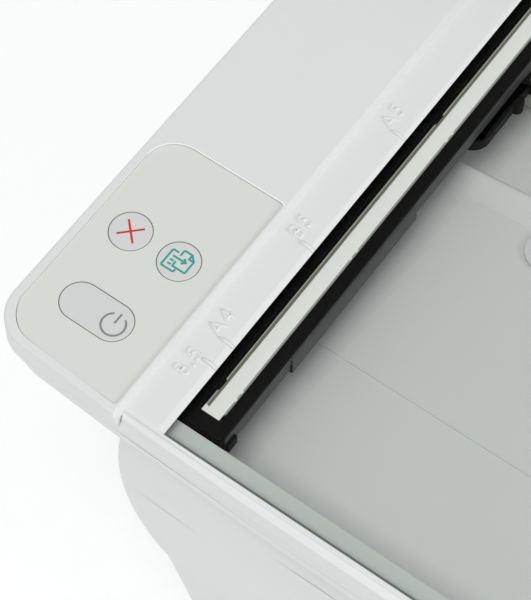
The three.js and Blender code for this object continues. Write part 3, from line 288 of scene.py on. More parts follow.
def clear_glass():
    """Float glass: clear with a green cast, and a mirror image only at a low angle."""
    material = bpy.data.materials.new("float_glass")
    material.use_nodes = True
    nodes = material.node_tree.nodes
    link = material.node_tree.links.new
    nodes.remove(nodes["Principled BSDF"])
    through = nodes.new("ShaderNodeBsdfTransparent")
    through.inputs["Color"].default_value = (0.982, 0.992, 0.984, 1)
    mirror = nodes.new("ShaderNodeBsdfGlossy")
    mirror.inputs["Roughness"].default_value = 0.02
    edge = nodes.new("ShaderNodeFresnel")
    edge.inputs["IOR"].default_value = 1.07
    mix = nodes.new("ShaderNodeMixShader")
    link(edge.outputs["Fac"], mix.inputs["Fac"])
    link(through.outputs["BSDF"], mix.inputs[1])
    link(mirror.outputs["BSDF"], mix.inputs[2])
    link(mix.outputs["Shader"], nodes["Material Output"].inputs["Surface"])
    return material


# Colour, roughness, then how far the colour varies, the grain's scale and its bump.
WHITE = textured("white_shell", (0.70, 0.712, 0.706), 0.42, 0.012, 3200.0, 0.035)
LOWER_WHITE = textured("white_housing", (0.69, 0.70, 0.696), 0.38, 0.012, 2400.0, 0.05)
TUB_GREY = textured("tub_grey", (0.565, 0.572, 0.572), 0.5, 0.02, 2200.0, 0.04)
LEDGE_GREY = textured("ledge_grey", (0.50, 0.535, 0.50), 0.5, 0.02, 2200.0, 0.04)
FILM = textured("panel_film", (0.66, 0.685, 0.645), 0.33, 0.012, 4200.0, 0.02)
KEY = textured("key_cap", (0.63, 0.64, 0.63), 0.34, 0.012, 4200.0, 0.02)
BLACK = textured("sensor_black", (0.005, 0.005, 0.0042), 0.6, 0.3, 1800.0, 0.04, gloss=0.12)
BLACK_GLOSS = textured(
    "sensor_black_satin", (0.0028, 0.0028, 0.0024), 0.45, 0.3, 1800.0, 0.02, gloss=0.12
)
DARK = textured("tray_charcoal", (0.055, 0.056, 0.058), 0.5, 0.1, 1600.0, 0.12)
# The cradle's black side wall, painted lighter for the light it catches.
SIDE_LIT_GREY = textured("cradle_side_painted_light", (0.078, 0.078, 0.08), 0.5, 0.12, 1600.0, 0.04, gloss=0.2)
GUIDE_WHITE = textured("light_guide", (0.82, 0.812, 0.79), 0.22, 0.02, 900.0, 0.02)
OLIVE = textured("lens_olive", (0.17, 0.165, 0.13), 0.4, 0.1, 900.0, 0.03)
SEAT_GREY = textured("guide_seat", (0.30, 0.30, 0.285), 0.5, 0.1, 900.0, 0.03)
BEIGE = textured("lens_edge", (0.42, 0.41, 0.36), 0.4, 0.08, 900.0, 0.03)
STEEL = textured(
    "drawn_steel", (0.55, 0.56, 0.57), 0.3, 0.06, 700.0, 0.08, metallic=1.0, stretch=(0.04, 1, 1)
)
NYLON = textured("gear_nylon", (0.72, 0.70, 0.62), 0.45, 0.04, 1500.0, 0.05)
RUBBER = textured("roller_rubber", (0.018, 0.018, 0.018), 0.78, 0.2, 1500.0, 0.25)
BOARD = textured("solder_resist", (0.02, 0.14, 0.06), 0.35, 0.15, 600.0, 0.08)
FOAM = textured("pad_film", (0.80, 0.805, 0.79), 0.6, 0.02, 700.0, 0.1)
INK_RED = textured("print_red", (0.62, 0.02, 0.012), 0.5, 0.05, 3000.0, 0.02)
INK_TEAL = textured("print_teal", (0.02, 0.33, 0.28), 0.5, 0.05, 3000.0, 0.02)
INK_GREY = textured("print_grey", (0.24, 0.25, 0.24), 0.5, 0.05, 3000.0, 0.02)
# Dark grey for painted shade in the gaps round the film and the keys.
GAP_SHADE_GREY = textured("painted_gap_shade", (0.15, 0.16, 0.14), 0.5, 0.05, 3000.0, 0.02)
# Brighter white for the painted highlight behind the panel film.
HIGHLIGHT_WHITE = textured("painted_highlight_white", (0.93, 0.935, 0.93), 0.35, 0.01, 3200.0, 0.02)
# Dark green for the strip by the front bar: the glass edge's green with painted shade.
EDGE_SHADE_GREEN = textured("glass_edge_painted_shade", (0.10, 0.13, 0.11), 0.5, 0.05, 3000.0, 0.02)
GLASS = clear_glass()

LOOKS = {
    "shell_white": WHITE,
    "panel_film": FILM,
    "key_grey": KEY,
    "black_plastic": BLACK,
    "dark_plastic": DARK,
    "scan_glass": GLASS,
    "guide_white": GUIDE_WHITE,
    "lens_olive": OLIVE,
    "plated_steel": STEEL,
    "nylon": NYLON,
    "roller_rubber": RUBBER,
    "circuit_board": BOARD,
    "pad_foam": FOAM,
    "print_black": BLACK_GLOSS,
}

# ---------- camera, lights and floor ----------
# The camera looks down on the control panel at the front left corner, from DISTANCE millimetres.
RIGHT = Vector((0.81039, 0.58590, -0.00110))
UP = Vector((-0.51205, 0.70916, 0.48466))
TOWARDS = Vector((-0.28474, 0.39220, -0.87470))
DISTANCE = 427.19
LOOK_AT = Vector((OPEN_X0 - 1.23, OPEN_Y0 + 36.28, STRIP_Z))
camera_data = bpy.data.cameras.new("camera")
camera_data.sensor_width = 36
camera_data.lens = 125.08
camera_data.clip_start = 0.01
camera = bpy.data.objects.new("camera", camera_data)
bpy.context.scene.collection.objects.link(camera)
turn = Matrix((RIGHT, UP, -TOWARDS)).transposed().to_4x4()
camera.matrix_world = Matrix.Translation((LOOK_AT - TOWARDS * DISTANCE) * MM) @ turn
bpy.context.scene.camera = camera

world = bpy.data.worlds.new("studio")
world.use_nodes = True
world.node_tree.nodes["Background"].inputs["Color"].default_value = (0.98, 0.99, 1.0, 1)
world.node_tree.nodes["Background"].inputs["Strength"].default_value = 0.47
bpy.context.scene.world = world
bpy.context.scene.view_settings.view_transform = "Standard"


def area_light(name, place_at, aim, size, power):
    data = bpy.data.lights.new(name, "AREA")
    data.shape = "SQUARE"
    data.size = size
    data.energy = power
    lamp = bpy.data.objects.new(name, data)
    lamp.location = place_at
    lamp.rotation_euler = (Vector(aim) - Vector(place_at)).to_track_quat("-Z", "Y").to_euler()
    bpy.context.scene.collection.objects.link(lamp)


area_light("front_key", (-0.2, -1.35, 3.3), (-0.1, -0.1, 0.1), 1.6, 57.0)
area_light("side_key", (2.1, 0.2, 1.0), (-0.1, 0, 0.1), 0.8, 23.0)

floor_material, floor_shader = principled("pale_floor", (0.93, 0.93, 0.93), 0.6)
floor_shader.inputs["Emission Color"].default_value = (1, 1, 1, 1)
floor_shader.inputs["Emission Strength"].default_value = 0.17
REACH = 4000
FLOOR = [(-REACH, -REACH, 0), (REACH, -REACH, 0), (REACH, REACH, 0), (-REACH, REACH, 0)]
floor = make("floor", FLOOR, [(0, 1, 2, 3)])
floor.data.materials.append(floor_material)

# ---------- scanner frame with the control panel and the paper-size strip ----------
# (inset from the widest line, height, extra front corner radius), from the skirt up over the lip,
# up a hollow face and over the rounded top.
RIM = [
    (0.7, BEZEL_LO.z, 4.0),
    (0.45, BEZEL_LO.z + 2.0, 2.6),
    (0.2, LIP_Z - 1.2, 1.0),
    (0.03, LIP_Z - 0.3, 0.1),
    (0.0, LIP_Z - 0.1, 0),
    (0.05, LIP_Z + 0.1, 0),
    (0.2, LIP_Z + 0.25, 0),
    (0.5, LIP_Z + 0.45, 0),
    (0.82, LIP_Z + 0.8, 0),
    (1.1, LIP_Z + 1.3, 0),
    (1.35, LIP_Z + 1.95, 0),
    (1.53, LIP_Z + 2.6, 0),
    (1.66, LIP_Z + 3.0, 0),
    (1.86, LIP_Z + 3.3, 0),
    (2.15, LIP_Z + 3.53, 0),
    (2.6, LIP_Z + 3.72, 0),
    (3.2, LIP_Z + 3.87, 0),
    (3.7, LIP_Z + 3.95, 0),
    (4.3, LIP_Z + 4.0, 0),
]
PANEL_RIM = [
    (0.12, LIP_Z + 0.05, 0),
    (0.06, LIP_Z + 0.3, 0),
    (0.15, PANEL_Z - 0.75, 0),
    (0.24, PANEL_Z - 0.4, 0),
    (0.45, PANEL_Z - 0.13, 0),
    (0.85, PANEL_Z, 0),
]
FILM_R = 7.3  # radius of the film's left corners
FILM_RIGHT_R = 0.8


def unit_ring(inset, z, extra):
    low, high = BEZEL_LO, BEZEL_HI
    r = CORNER_R - inset
    return ring(low.x + inset, high.x - inset, low.y + inset, high.y - inset, z, r + extra, r)


def overlay_outline(grow, ahead=0.0):
    """The film's outline, grown all round and then ahead. Its front follows the panel's bow."""
    x0 = OVERLAY_LO.x - grow
    x1 = OVERLAY_HI.x + grow
    y0 = OVERLAY_LO.y - grow - ahead
    left_r = FILM_R + grow
    points = rounded(x0, x1, y0, OVERLAY_HI.y + grow, FILM_RIGHT_R, left_r)
    front = x1 - x0 - left_r - FILM_RIGHT_R
    points += [(x0 + left_r + front * i / 10, y0) for i in range(1, 10)]
    low = y0 + left_r - 0.1
    return [(x, y + (bow(x) - bow(x1) if y < low else 0)) for x, y in points]


KEYS = {"cancel_button": "cancel_key", "copy_button": "copy_key", "power_button": "power_key"}


def key_outline(node, grow):
    """A key's outline, grown all round: a circle, or a slot with round ends."""
    low, high = box(node)
    r = (high.y - low.y) / 2 + grow
    y = (low.y + high.y) / 2
    return arc(high.x + grow - r, y, r, -90, 90, 40) + arc(low.x - grow + r, y, r, 90, 270, 40)


def bezel():
    body = loft("bezel", [unit_ring(*step) for step in RIM])
    panel = loft("panel_rim", [unit_ring(*step) for step in PANEL_RIM])
    # The panel ends in a slope down to the strip.
    slope = [
        (BEZEL_LO.x - 1, LIP_Z - 1),
        (STRIP_X0, LIP_Z - 1),
        (STRIP_X0, STRIP_Z),
        (PANEL_EDGE_X, PANEL_Z),
        (PANEL_EDGE_X, PANEL_Z + 2),
        (BEZEL_LO.x - 1, PANEL_Z + 2),
    ]
    side = prism_y("panel_side", slope, BEZEL_LO.y - 5, BEZEL_HI.y + 5)
    boolean(panel, [side], "INTERSECT")
    boolean(body, [panel], "UNION")
    y0 = OPEN_Y0 - 0.15
    window = []
    for d, z in [(0, 120), (0, STRIP_Z - 0.8), (BEVEL, STRIP_Z), (BEVEL, STRIP_Z + 5)]:
        x0, x1, y1 = OPEN_X0 - d, OPEN_X1 + d, OPEN_Y1 + d
        window.append([Vector((x, y, z)) for x, y in [(x0, y0), (x1, y0), (x1, y1), (x0, y1)]])
    low, high = GLASS_LO, GLASS_HI
    x0, x1, y1 = low.x - CLEAR, high.x + CLEAR, high.y + CLEAR
    tools = [
        loft("inside", [unit_ring(3.2, BEZEL_LO.z - 1, 4), unit_ring(3.8, STRIP_Z - 2.4, 0)]),
        loft("opening", window),
        block("pocket", x0, x1, y0, y1, BEZEL_LO.z, high.z + CLEAR),
        prism("recess", overlay_outline(0.12, 0.14), OVERLAY_LO.z - 0.1, PANEL_Z + 1),
    ]
    # The panel stops short of the front bar, leaving a fine gap.
    gap_x = (STRIP_X0 + 0.05, STRIP_X0 + 0.3)
    gap_y = (BEZEL_LO.y - 2, OPEN_Y0 - 1.4)
    tools.append(block("gap", *gap_x, *gap_y, LIP_Z + 1.2, STRIP_Z + 1))
    tools += [prism("key_hole", key_outline(node, 0.27), BEZEL_LO.z, PANEL_Z + 1) for node in KEYS]
    for post in ("hinge_post_left", "hinge_post_right"):
        low, high = box(post)
        x0, x1 = low.x - CLEAR, high.x + CLEAR
        tools.append(block("hinge_slot", x0, x1, low.y - CLEAR, high.y + CLEAR, *HINGE_CUT))
    boolean(body, tools)
    clean(body)
    bevel(body, 0.12, 28, 3)
    return place(body, "body", "shell_white", WHITE, "scanner_bezel")


bezel()

# ---------- raised paper sizes and their tick marks on the strip ----------
REFERENCE_Y = OPEN_Y0 + 233.8  # the glass's reference corner, at the back
# A paper size, the distance of its tick mark from the reference corner, and that of the word's end.
SIZES = [("8.5", 215.9, 214.9), ("A4", 210, 203.7), ("B5", 182, 176.3), ("A5", 148, 141.8)]
TEXT_X = OPEN_X0 - 3.7
TICK_X0 = OPEN_X0 - 3.5
TICK_R = 0.47
TICK_Z = STRIP_Z + 0.02
MARK_R = 0.42  # radius of a raised stroke
MARK_Z = STRIP_Z - 0.1  # the tops stay below the closed lid
MARK_H = 2.95  # height of a letter between the middles of its strokes


def oval(cx, cy, rx, ry, start, end):
    return [(cx + rx * x, cy + ry * y) for x, y in arc(0, 0, 1, start, end, 20)]


def letter(name):
    """A letter's width and its strokes, with x along the word and y up the letter."""
    h = MARK_H
    if name == "A":
        w = 2.5
        bar = [(w * 0.2, h * 0.34), (w * 0.8, h * 0.34)]
        return w, [[(0, 0), (w / 2, h)], [(w / 2, h), (w, 0)], bar]
    if name == "B":
        w = 1.75
        top = [(0, h)] + oval(w * 0.5, h * 0.765, w * 0.42, h * 0.235, 90, -90) + [(0, h * 0.53)]
        bottom = oval(w * 0.5, h * 0.265, w * 0.5, h * 0.265, 90, -90) + [(0, 0)]
        return w, [[(0, 0), (0, h)], top, bottom]
    if name == "4":
        w = 1.75
        top = (w * 0.74, h)
        return w, [[(w * 0.74, 0), top], [top, (0, h * 0.3)], [(0, h * 0.3), (w, h * 0.3)]]
    if name == "5":
        w = 1.5
        bowl = oval(w * 0.46, h * 0.32, w * 0.54, h * 0.32, 140, -140)
        return w, [[(w * 0.92, h), (w * 0.14, h)], [(w * 0.14, h), bowl[0]], bowl]
    if name == "8":
        w = 1.5
        bottom = oval(w / 2, h * 0.27, w / 2, h * 0.27, 0, 360)
        return w, [bottom, oval(w / 2, h * 0.77, w * 0.42, h * 0.23, 0, 360)]
    return 0, [[(-0.06, 0), (0.06, 0)]]  # the point in 8.5


def bead(name, path, radius, sides=10):
    """A round cord of plastic along a path of points, each with its share of the radius."""
    count = len(path)
    rings = []
    for i, (p, share) in enumerate(path):
        before = Vector(path[max(i - 1, 0)][0])
        after = Vector(path[min(i + 1, count - 1)][0])
        along = (after - before).normalized()
        side = along.cross(Vector((0, 0, 1))).normalized()
        up = side.cross(along)
        r = radius * share
        turns = [2 * math.pi * k / sides for k in range(sides)]
        rings.append([Vector(p) + r * (side * math.cos(a) + up * math.sin(a)) for a in turns])
    return loft(name, rings)


def domed(points):
    """A path for bead(), with a dome past each end."""
    first = (points[0] - points[1]).normalized() * MARK_R
    last = (points[-1] - points[-2]).normalized() * MARK_R
    path = [(points[0] + first * 0.95, 0.3), (points[0] + first * 0.65, 0.75)]
    path += [(p, 1) for p in points]
    return path + [(points[-1] + last * 0.65, 0.75), (points[-1] + last * 0.95, 0.3)]


def joined(name, pieces):
    """One object with the meshes of all the pieces, which it removes."""
    mesh = bpy.data.meshes.new(name)
    bm = bmesh.new()
    for piece in pieces:
        bm.from_mesh(piece.data)
        bpy.data.objects.remove(piece)
    bm.to_mesh(mesh)
    bm.free()
    obj = bpy.data.objects.new(name, mesh)
    bpy.context.scene.collection.objects.link(obj)
    return obj


def raised_text(word, y_end):
    """A word of rounded strokes that reads towards the back. It ends at y_end."""
    space = 2 * MARK_R + 0.5
    letters = [letter(c) for c in word]
    y = y_end - MARK_R - sum(width for width, _ in letters) - space * (len(word) - 1)
    foot = TEXT_X - MARK_R
    cords = []
    for width, strokes in letters:
        for line in strokes:
            points = [Vector((foot - up, y + along, MARK_Z)) for along, up in line]
            cords.append(bead("cord", domed(points), MARK_R, 14))
        y += width + space
    piece = joined("size_" + word.replace(".", "_"), cords)
    smooth(piece, 60)
    place(piece, "body", "shell_white", WHITE)


def tick(word, distance):
    """A bead that runs over the strip's edge and down its bevel."""
    run = [
        (TICK_X0, TICK_Z, 0.3),
        (TICK_X0 + 0.06, TICK_Z, 0.7),
        (TICK_X0 + 0.25, TICK_Z, 1),
        (TICK_X0 + 1.1, TICK_Z, 1),
        (OPEN_X0 - BEVEL - 0.1, TICK_Z, 1),
        (OPEN_X0 - BEVEL * 0.55, STRIP_Z - 0.34, 1),
        (OPEN_X0 - 0.15, STRIP_Z - 0.72, 1),
    ]
    path = [((x, REFERENCE_Y - distance, z), share) for x, z, share in run]
    piece = bead("tick_" + word.replace(".", "_"), path, TICK_R)
    smooth(piece, 60)
    place(piece, "body", "shell_white", WHITE)


for word, distance, end in SIZES:
    raised_text(word, REFERENCE_Y - end)
    tick(word, distance)


# ---------- control panel ----------
def overlay():
    film = prism("overlay", overlay_outline(0.1), OVERLAY_LO.z, OVERLAY_HI.z)
    boolean(film, [prism("hole", key_outline(node, 0.2), *THROUGH) for node in KEYS])
    clean(film)
    bevel(film, 0.06, 30, 2)
    place(film, "body", "panel_film", FILM, "panel_overlay")
    # Painted highlight: a fine strip of brighter white behind the film, standing in for the light
    # caught by the recess's back edge.
    low, high = OVERLAY_LO, OVERLAY_HI
    glint_strip = prism("overlay_painted_glint", overlay_outline(0.34), PANEL_Z - 0.3, PANEL_Z + 0.05)
    away = block("away", low.x - 2, high.x + 2, low.y - 2, high.y - 6.5, *THROUGH)
    beside = block("beside", high.x + 0.1, high.x + 2, low.y, high.y + 2, *THROUGH)
    boolean(glint_strip, [prism("hole", overlay_outline(0.13), *THROUGH), away, beside])
    place(glint_strip, "body", "shell_white", HIGHLIGHT_WHITE)
    # Painted shade in the groove along the film's front edge: a dark strip where shade falls.
    shade = prism("overlay_shade", overlay_outline(0.112, 0.13), low.z, high.z - 0.2)
    boolean(shade, [prism("hole", overlay_outline(0.102), *THROUGH)])
    place(shade, "body", "black_plastic", GAP_SHADE_GREY)


overlay()


def stroke(points, width):
    """Outline of a line of that width through points, with square ends and mitred turns."""
    left = []
    right = []
    for i, p in enumerate(points):
        p = Vector(p)
        before = p - Vector(points[i - 1]) if i else Vector(points[1]) - p
        before.normalize()
        after = (Vector(points[i + 1]) - p).normalized() if i + 1 < len(points) else before
        across = Vector((-(before + after).y, (before + after).x)).normalized()
        across *= width / 2 / max(0.4, across.dot(Vector((-before.y, before.x))))
        left.append(p + across)
        right.append(p - across)
    return left, right


def printed(name, lines, width, z, material, body, slot):
    """Lines of ink on a key: each is a thin raised ribbon."""
    verts = []
    faces = []
    for points in lines:
        z += INK_STEP
        left, right = stroke(points, width)
        count = len(left)
        for a in range(len(verts), len(verts) + count - 1):
            faces.append((a, a + count, a + count + 1, a + 1))
        for side in (left, right):
            verts += [(p.x, p.y, z) for p in side]
    ink = make(name, verts, faces)
    for face in ink.data.polygons:
        if face.normal.z < 0:
            face.flip()
    thick = ink.modifiers.new("thickness", "SOLIDIFY")
    thick.thickness = INK_THICK * MM
    thick.offset = 1
    evaluated(ink)
    place(ink, body, slot, material)


def at(cx, cy, points):
    return [(cx + x, cy + y) for x, y in points]


def key(node):
    low, high = box(node)
    cap = prism(node + "_cap", key_outline(node, 0.0), high.z - 3, high.z)
    stem_x = (low.x + high.x) / 2
    stem_y = (low.y + high.y) / 2
    boolean(cap, [prism("stem", circle(stem_x, stem_y, 2), low.z, high.z - 2)], "UNION")
    clean(cap)
    bevel(cap, 0.1, 30, 2)
    place(cap, KEYS[node], "key_grey", KEY, node)
    # Painted shade: a dark rim at the bottom of the gap round the key.
    rim = prism(node + "_outline", key_outline(node, 0.24), OVERLAY_HI.z - 0.9, OVERLAY_HI.z - 0.12)
    boolean(rim, [prism("hole", key_outline(node, 0.03), *THROUGH)])
    place(rim, "body", "black_plastic", GAP_SHADE_GREY)


for key_node in KEYS:
    key(key_node)

INK_Z = OVERLAY_HI.z + 0.005
INK_STEP = 0.004  # so that no two strokes share a plane where they cross
INK_THICK = 0.02


def cancel_mark():
    low, high = box("cancel_button")
    middle = ((low.x + high.x) / 2, (low.y + high.y) / 2)
    arm = 2.12
    cross = [at(*middle, [(-arm, -arm), (arm, arm)]), at(*middle, [(-arm, arm), (arm, -arm)])]
    printed("cancel_mark", cross, 0.46, INK_Z, INK_RED, "cancel_key", "key_grey")


def copy_mark():
    """A sheet with lines of text, an arrow, and a copy of it with a folded corner."""
    low, high = box("copy_button")
    middle = ((low.x + high.x) / 2, (low.y + high.y) / 2)
    width, height = 3.2, 4.4
    turn = 0.15  # the sheets' corners
    x0, y0 = -2.7, -2.7
    x1, y1 = x0 + width, y0 + height
    sheet = [(x1, y0 + 0.75), (x1, y0 + turn), (x1 - turn, y0), (x0 + turn, y0), (x0, y0 + turn)]
    sheet += [(x0, y1 - turn), (x0 + turn, y1), (x0 + 1.5, y1)]
    line_x = x0 + 0.85
    x2, y2 = -0.55, -1.65
    x3, y3 = x2 + width, y2 + height
    fold_x, fold_y = x3 - 1.2, y3 - 1.2
    copy = [(x2, y2 + 1.3), (x2, y2 + turn), (x2 + turn, y2), (x3 - turn, y2), (x3, y2 + turn)]
    copy += [(x3, fold_y), (fold_x, y3), (x2 + turn, y3), (x2, y3 - turn), (x2, y2 + 2.9)]
    tip_x, tip_y, barb = x2 + 1.95, 0.45, 0.7
    head_x = x2 + 1.15
    lines = [
        sheet,
        copy,
        [(fold_x, y3), (fold_x, fold_y), (x3, fold_y)],
        [(line_x, tip_y), (tip_x, tip_y)],
        [(head_x, tip_y + barb), (tip_x, tip_y), (head_x, tip_y - barb)],
        [(line_x, -0.55), (x0 + 1.7, -0.55)],
        [(line_x, -1.55), (x0 + 1.7, -1.55)],
    ]
    lines = [at(*middle, line) for line in lines]
    printed("copy_mark", lines, 0.44, INK_Z, INK_TEAL, "copy_key", "key_grey")


def power_mark():
    low, high = box("power_button")
    y = (low.y + high.y) / 2 - 0.4
    x = high.x - (high.y - low.y) / 2 + 0.5
    lines = [arc(x, y, 2.6, 122, 418, 60), [(x, y + 0.35), (x, y + 2.9)]]
    printed("power_mark", lines, 0.46, INK_Z, INK_GREY, "power_key", "key_grey")


cancel_mark()
copy_mark()
power_mark()

# ---------- glass ----------
glass = block("glass_plate", GLASS_LO.x, GLASS_HI.x, GLASS_LO.y, GLASS_HI.y, GLASS_LO.z, GLASS_HI.z)
bevel(glass, 0.15, 30, 2)
place(glass, "body", "scan_glass", GLASS, "scanner_glass")


# ---------- lower housing ----------
BELLY_Z = 106  # height of the widest line
CURVE_R = 80  # the sides curve in below the belly, down to CURVE_DROP
CURVE_DROP = 36
SHOULDER_Z = 96  # the front's soft shoulder: where it starts, its depth and its reach
SHOULDER = 3.2
SHOULDER_REACH = 50
FRONT_R = 6.5
BACK_R = 8
WALL = 2.5
OUTPUT_X = (-116, 136)
OUTPUT_TOP = 58
GRIP_X = (-20, 40)


def side_inset(z):
    """How far the housing's sides are drawn in: rounded at the top, curving in further down."""
    over = z - BELLY_Z
    if over > 0:
        return 3 * (over / (HOUSING_HI.z - BELLY_Z)) ** 2.2
    drop = min(-over, CURVE_DROP)
    curve = CURVE_R - math.sqrt(CURVE_R**2 - drop**2)
    return curve + 0.2 * max(0, -over - CURVE_DROP)


def housing_ring(z, inward=0.0):
    side = side_inset(max(min(z, HOUSING_HI.z), HOUSING_LO.z))
    front = side if z > BELLY_Z else side * 0.3
    x0 = HOUSING_LO.x + side + inward
    x1 = HOUSING_HI.x - side - inward
    y0 = HOUSING_LO.y + front + inward
    points = ring(x0, x1, y0, HOUSING_HI.y - inward, z, FRONT_R - inward, BACK_R - inward)
    # Away from its corners the front is drawn in further at the top, as a soft shoulder.
    rise = max(0, min(1, (z - SHOULDER_Z) / (HOUSING_HI.z - SHOULDER_Z)))
    for p in points:
        if p.y < 0:
            from_side = min(p.x - HOUSING_LO.x, HOUSING_HI.x - p.x)
            share = max(0, min(1, (from_side - 8) / SHOULDER_REACH))
            p.y += SHOULDER * rise**2 * share * share * (3 - 2 * share)
    return points


def housing_levels():
    low = HOUSING_LO.z
    high = HOUSING_HI.z
    steps = 34
    return [low + (high - low) * i / steps for i in range(steps + 1)]


def housing_skin(name):
    skin = loft(name, [housing_ring(z) for z in housing_levels()])
    levels = [HOUSING_LO.z - 1] + housing_levels()[1:-1] + [HOUSING_HI.z + 1]
    return boolean(skin, [loft("hollow", [housing_ring(z, WALL) for z in levels])])


DOOR = (DOOR_LO.x + 3, DOOR_HI.x - 3, DOOR_LO.z, DOOR_HI.z)
FRONT_CUT = (HOUSING_LO.y - 2, HOUSING_LO.y + 31)  # spans the front wall


def socket(node):
    low, high = box(node)
    x0, x1 = low.x - CLEAR, high.x + CLEAR
    back = HOUSING_HI.y
    return block("socket", x0, x1, back - 8, back + 5, low.z - CLEAR, high.z + CLEAR)


def lower_housing():
    shell = housing_skin("housing")
    x0, x1, z0, z1 = DOOR
    output = block("output", *OUTPUT_X, *FRONT_CUT, 0, OUTPUT_TOP)
    doorway = block("doorway", x0 - 0.7, x1 + 0.7, *FRONT_CUT, z0 - 1.5, z1 + 0.7)
    boolean(shell, [output, doorway, socket("mains_inlet"), socket("data_port")])
    clean(shell)
    bevel(shell, 0.5, 40, 3)
    place(shell, "body", "shell_white", LOWER_WHITE, "lower_housing")
    door = housing_skin("door_skin")
    boolean(door, [block("window", x0, x1, *FRONT_CUT, z0, z1)], "INTERSECT")
    grip_y = (HOUSING_LO.y + 1.4, HOUSING_LO.y + 6.1)
    boolean(door, [block("grip", *GRIP_X, *grip_y, z1 - 3, z1 - 1)], "UNION")
    clean(door)
    bevel(door, 0.5, 40, 3)
    door.name = "access_door"
    place(door, "door", "shell_white", LOWER_WHITE, "cartridge_door")


lower_housing()


# ---------- pieces that keep their solid's shape, with rounded edges ----------
def refine(node, width, material):
    """A copy of a CAD node with its flat faces joined and its edges rounded."""
    source = frame["nodes"][node]
    piece = bpy.data.objects.new(node + "_fine", source.data.copy())
    bpy.context.scene.collection.objects.link(piece)
    clean(piece)
    bevel(piece, width, 38, 2)
    place(piece, NODE_BODY[node], NODE_SLOT[node], material, node)


RECORD = frame["record"]
BODIES = RECORD["behaviour"]["bodies"]
NODE_BODY = {node: body for body, nodes in BODIES.items() for node in nodes}
NODE_SLOT = {part["node"]: part["material_slot"] for part in RECORD["subparts"]}

# How far the edges are rounded, and the material.
EDGES = {
    "scanner_tub": (0.6, TUB_GREY),
    "scan_motor": (0.4, STEEL),
    "lid_cover": (0.5, WHITE),
    "lid_pad": (1.2, FOAM),
    "hinge_post_left": (0.6, WHITE),
    "hinge_post_right": (0.6, WHITE),
    "rear_cover": (0.6, WHITE),
    "paper_support": (0.5, WHITE),
    "paper_guide": (0.5, DARK),
    "paper_deck": (0.5, DARK),
    "output_tray": (0.5, DARK),
    "tray_extender": (0.4, DARK),
    "paper_stop": (0.4, DARK),
    "base_pan": (0.5, DARK),
    "print_carriage": (0.5, BLACK),
    "black_cartridge": (0.5, BLACK_GLOSS),
    "colour_cartridge": (0.5, DARK),
    "platen": (0.4, BLACK),
    "service_station": (0.5, DARK),
    "mains_inlet": (0.3, BLACK),
    "data_port": (0.2, STEEL),
    "side_frame": (0.2, STEEL),
    "power_supply": (0.6, BLACK),
}
for edge_node, edge in EDGES.items():
    refine(edge_node, *edge)

# ---------- scan sensor under the glass ----------
CRADLE_LO, CRADLE_HI = box("sensor_cradle")
GUIDE_LO, GUIDE_HI = box("light_guide")
LENS_LO, LENS_HI = box("lens_strip")
PINION_LO, PINION_HI = box("scan_pinion")
ROD_LO, ROD_HI = box("scan_guide_rod")
SIDE_X = OPEN_X0 + 9.3  # the sensor's right side
BAR_TOP = CRADLE_HI.z + 0.5
BAR_BOTTOM = CRADLE_HI.z - 5.4
DEEP_Y = (-116, -70)  # the side wall reaches deeper between these
BRACKET_X = SIDE_X + 2.2  # right side of the drive bracket
BRACKET_Z = (123.2, BAR_BOTTOM + 0.5)
BRACKET_BACK = -27
BEND_Y = -43.3  # middle of the bracket's bend at its front
BEND_R = 4.5
TABS = (-130.8, -90, -53.6, -10, 35)  # pairs of tabs on the light guide
TAB_STEP = 2.2


def drive_bracket():
    """The trough on the sensor's right side."""
    centre_x = BRACKET_X - BEND_R
    trough = [(BRACKET_X, BRACKET_BACK)] + arc(centre_x, BEND_Y, BEND_R, -90, 0, 12)[::-1]
    trough += [(SIDE_X - 3, BEND_Y - BEND_R), (SIDE_X - 3, BRACKET_BACK)]
    bracket = prism("bracket", trough, *BRACKET_Z)
    back = BRACKET_BACK - 0.5
    inner = [(BRACKET_X - 0.8, back)] + arc(centre_x, BEND_Y, BEND_R - 0.8, -51, 0, 12)[::-1]
    inner += [(SIDE_X + 0.01, back)]
    return boolean(bracket, [prism("inner", inner, BRACKET_Z[0] + 1, BAR_BOTTOM + 1)])


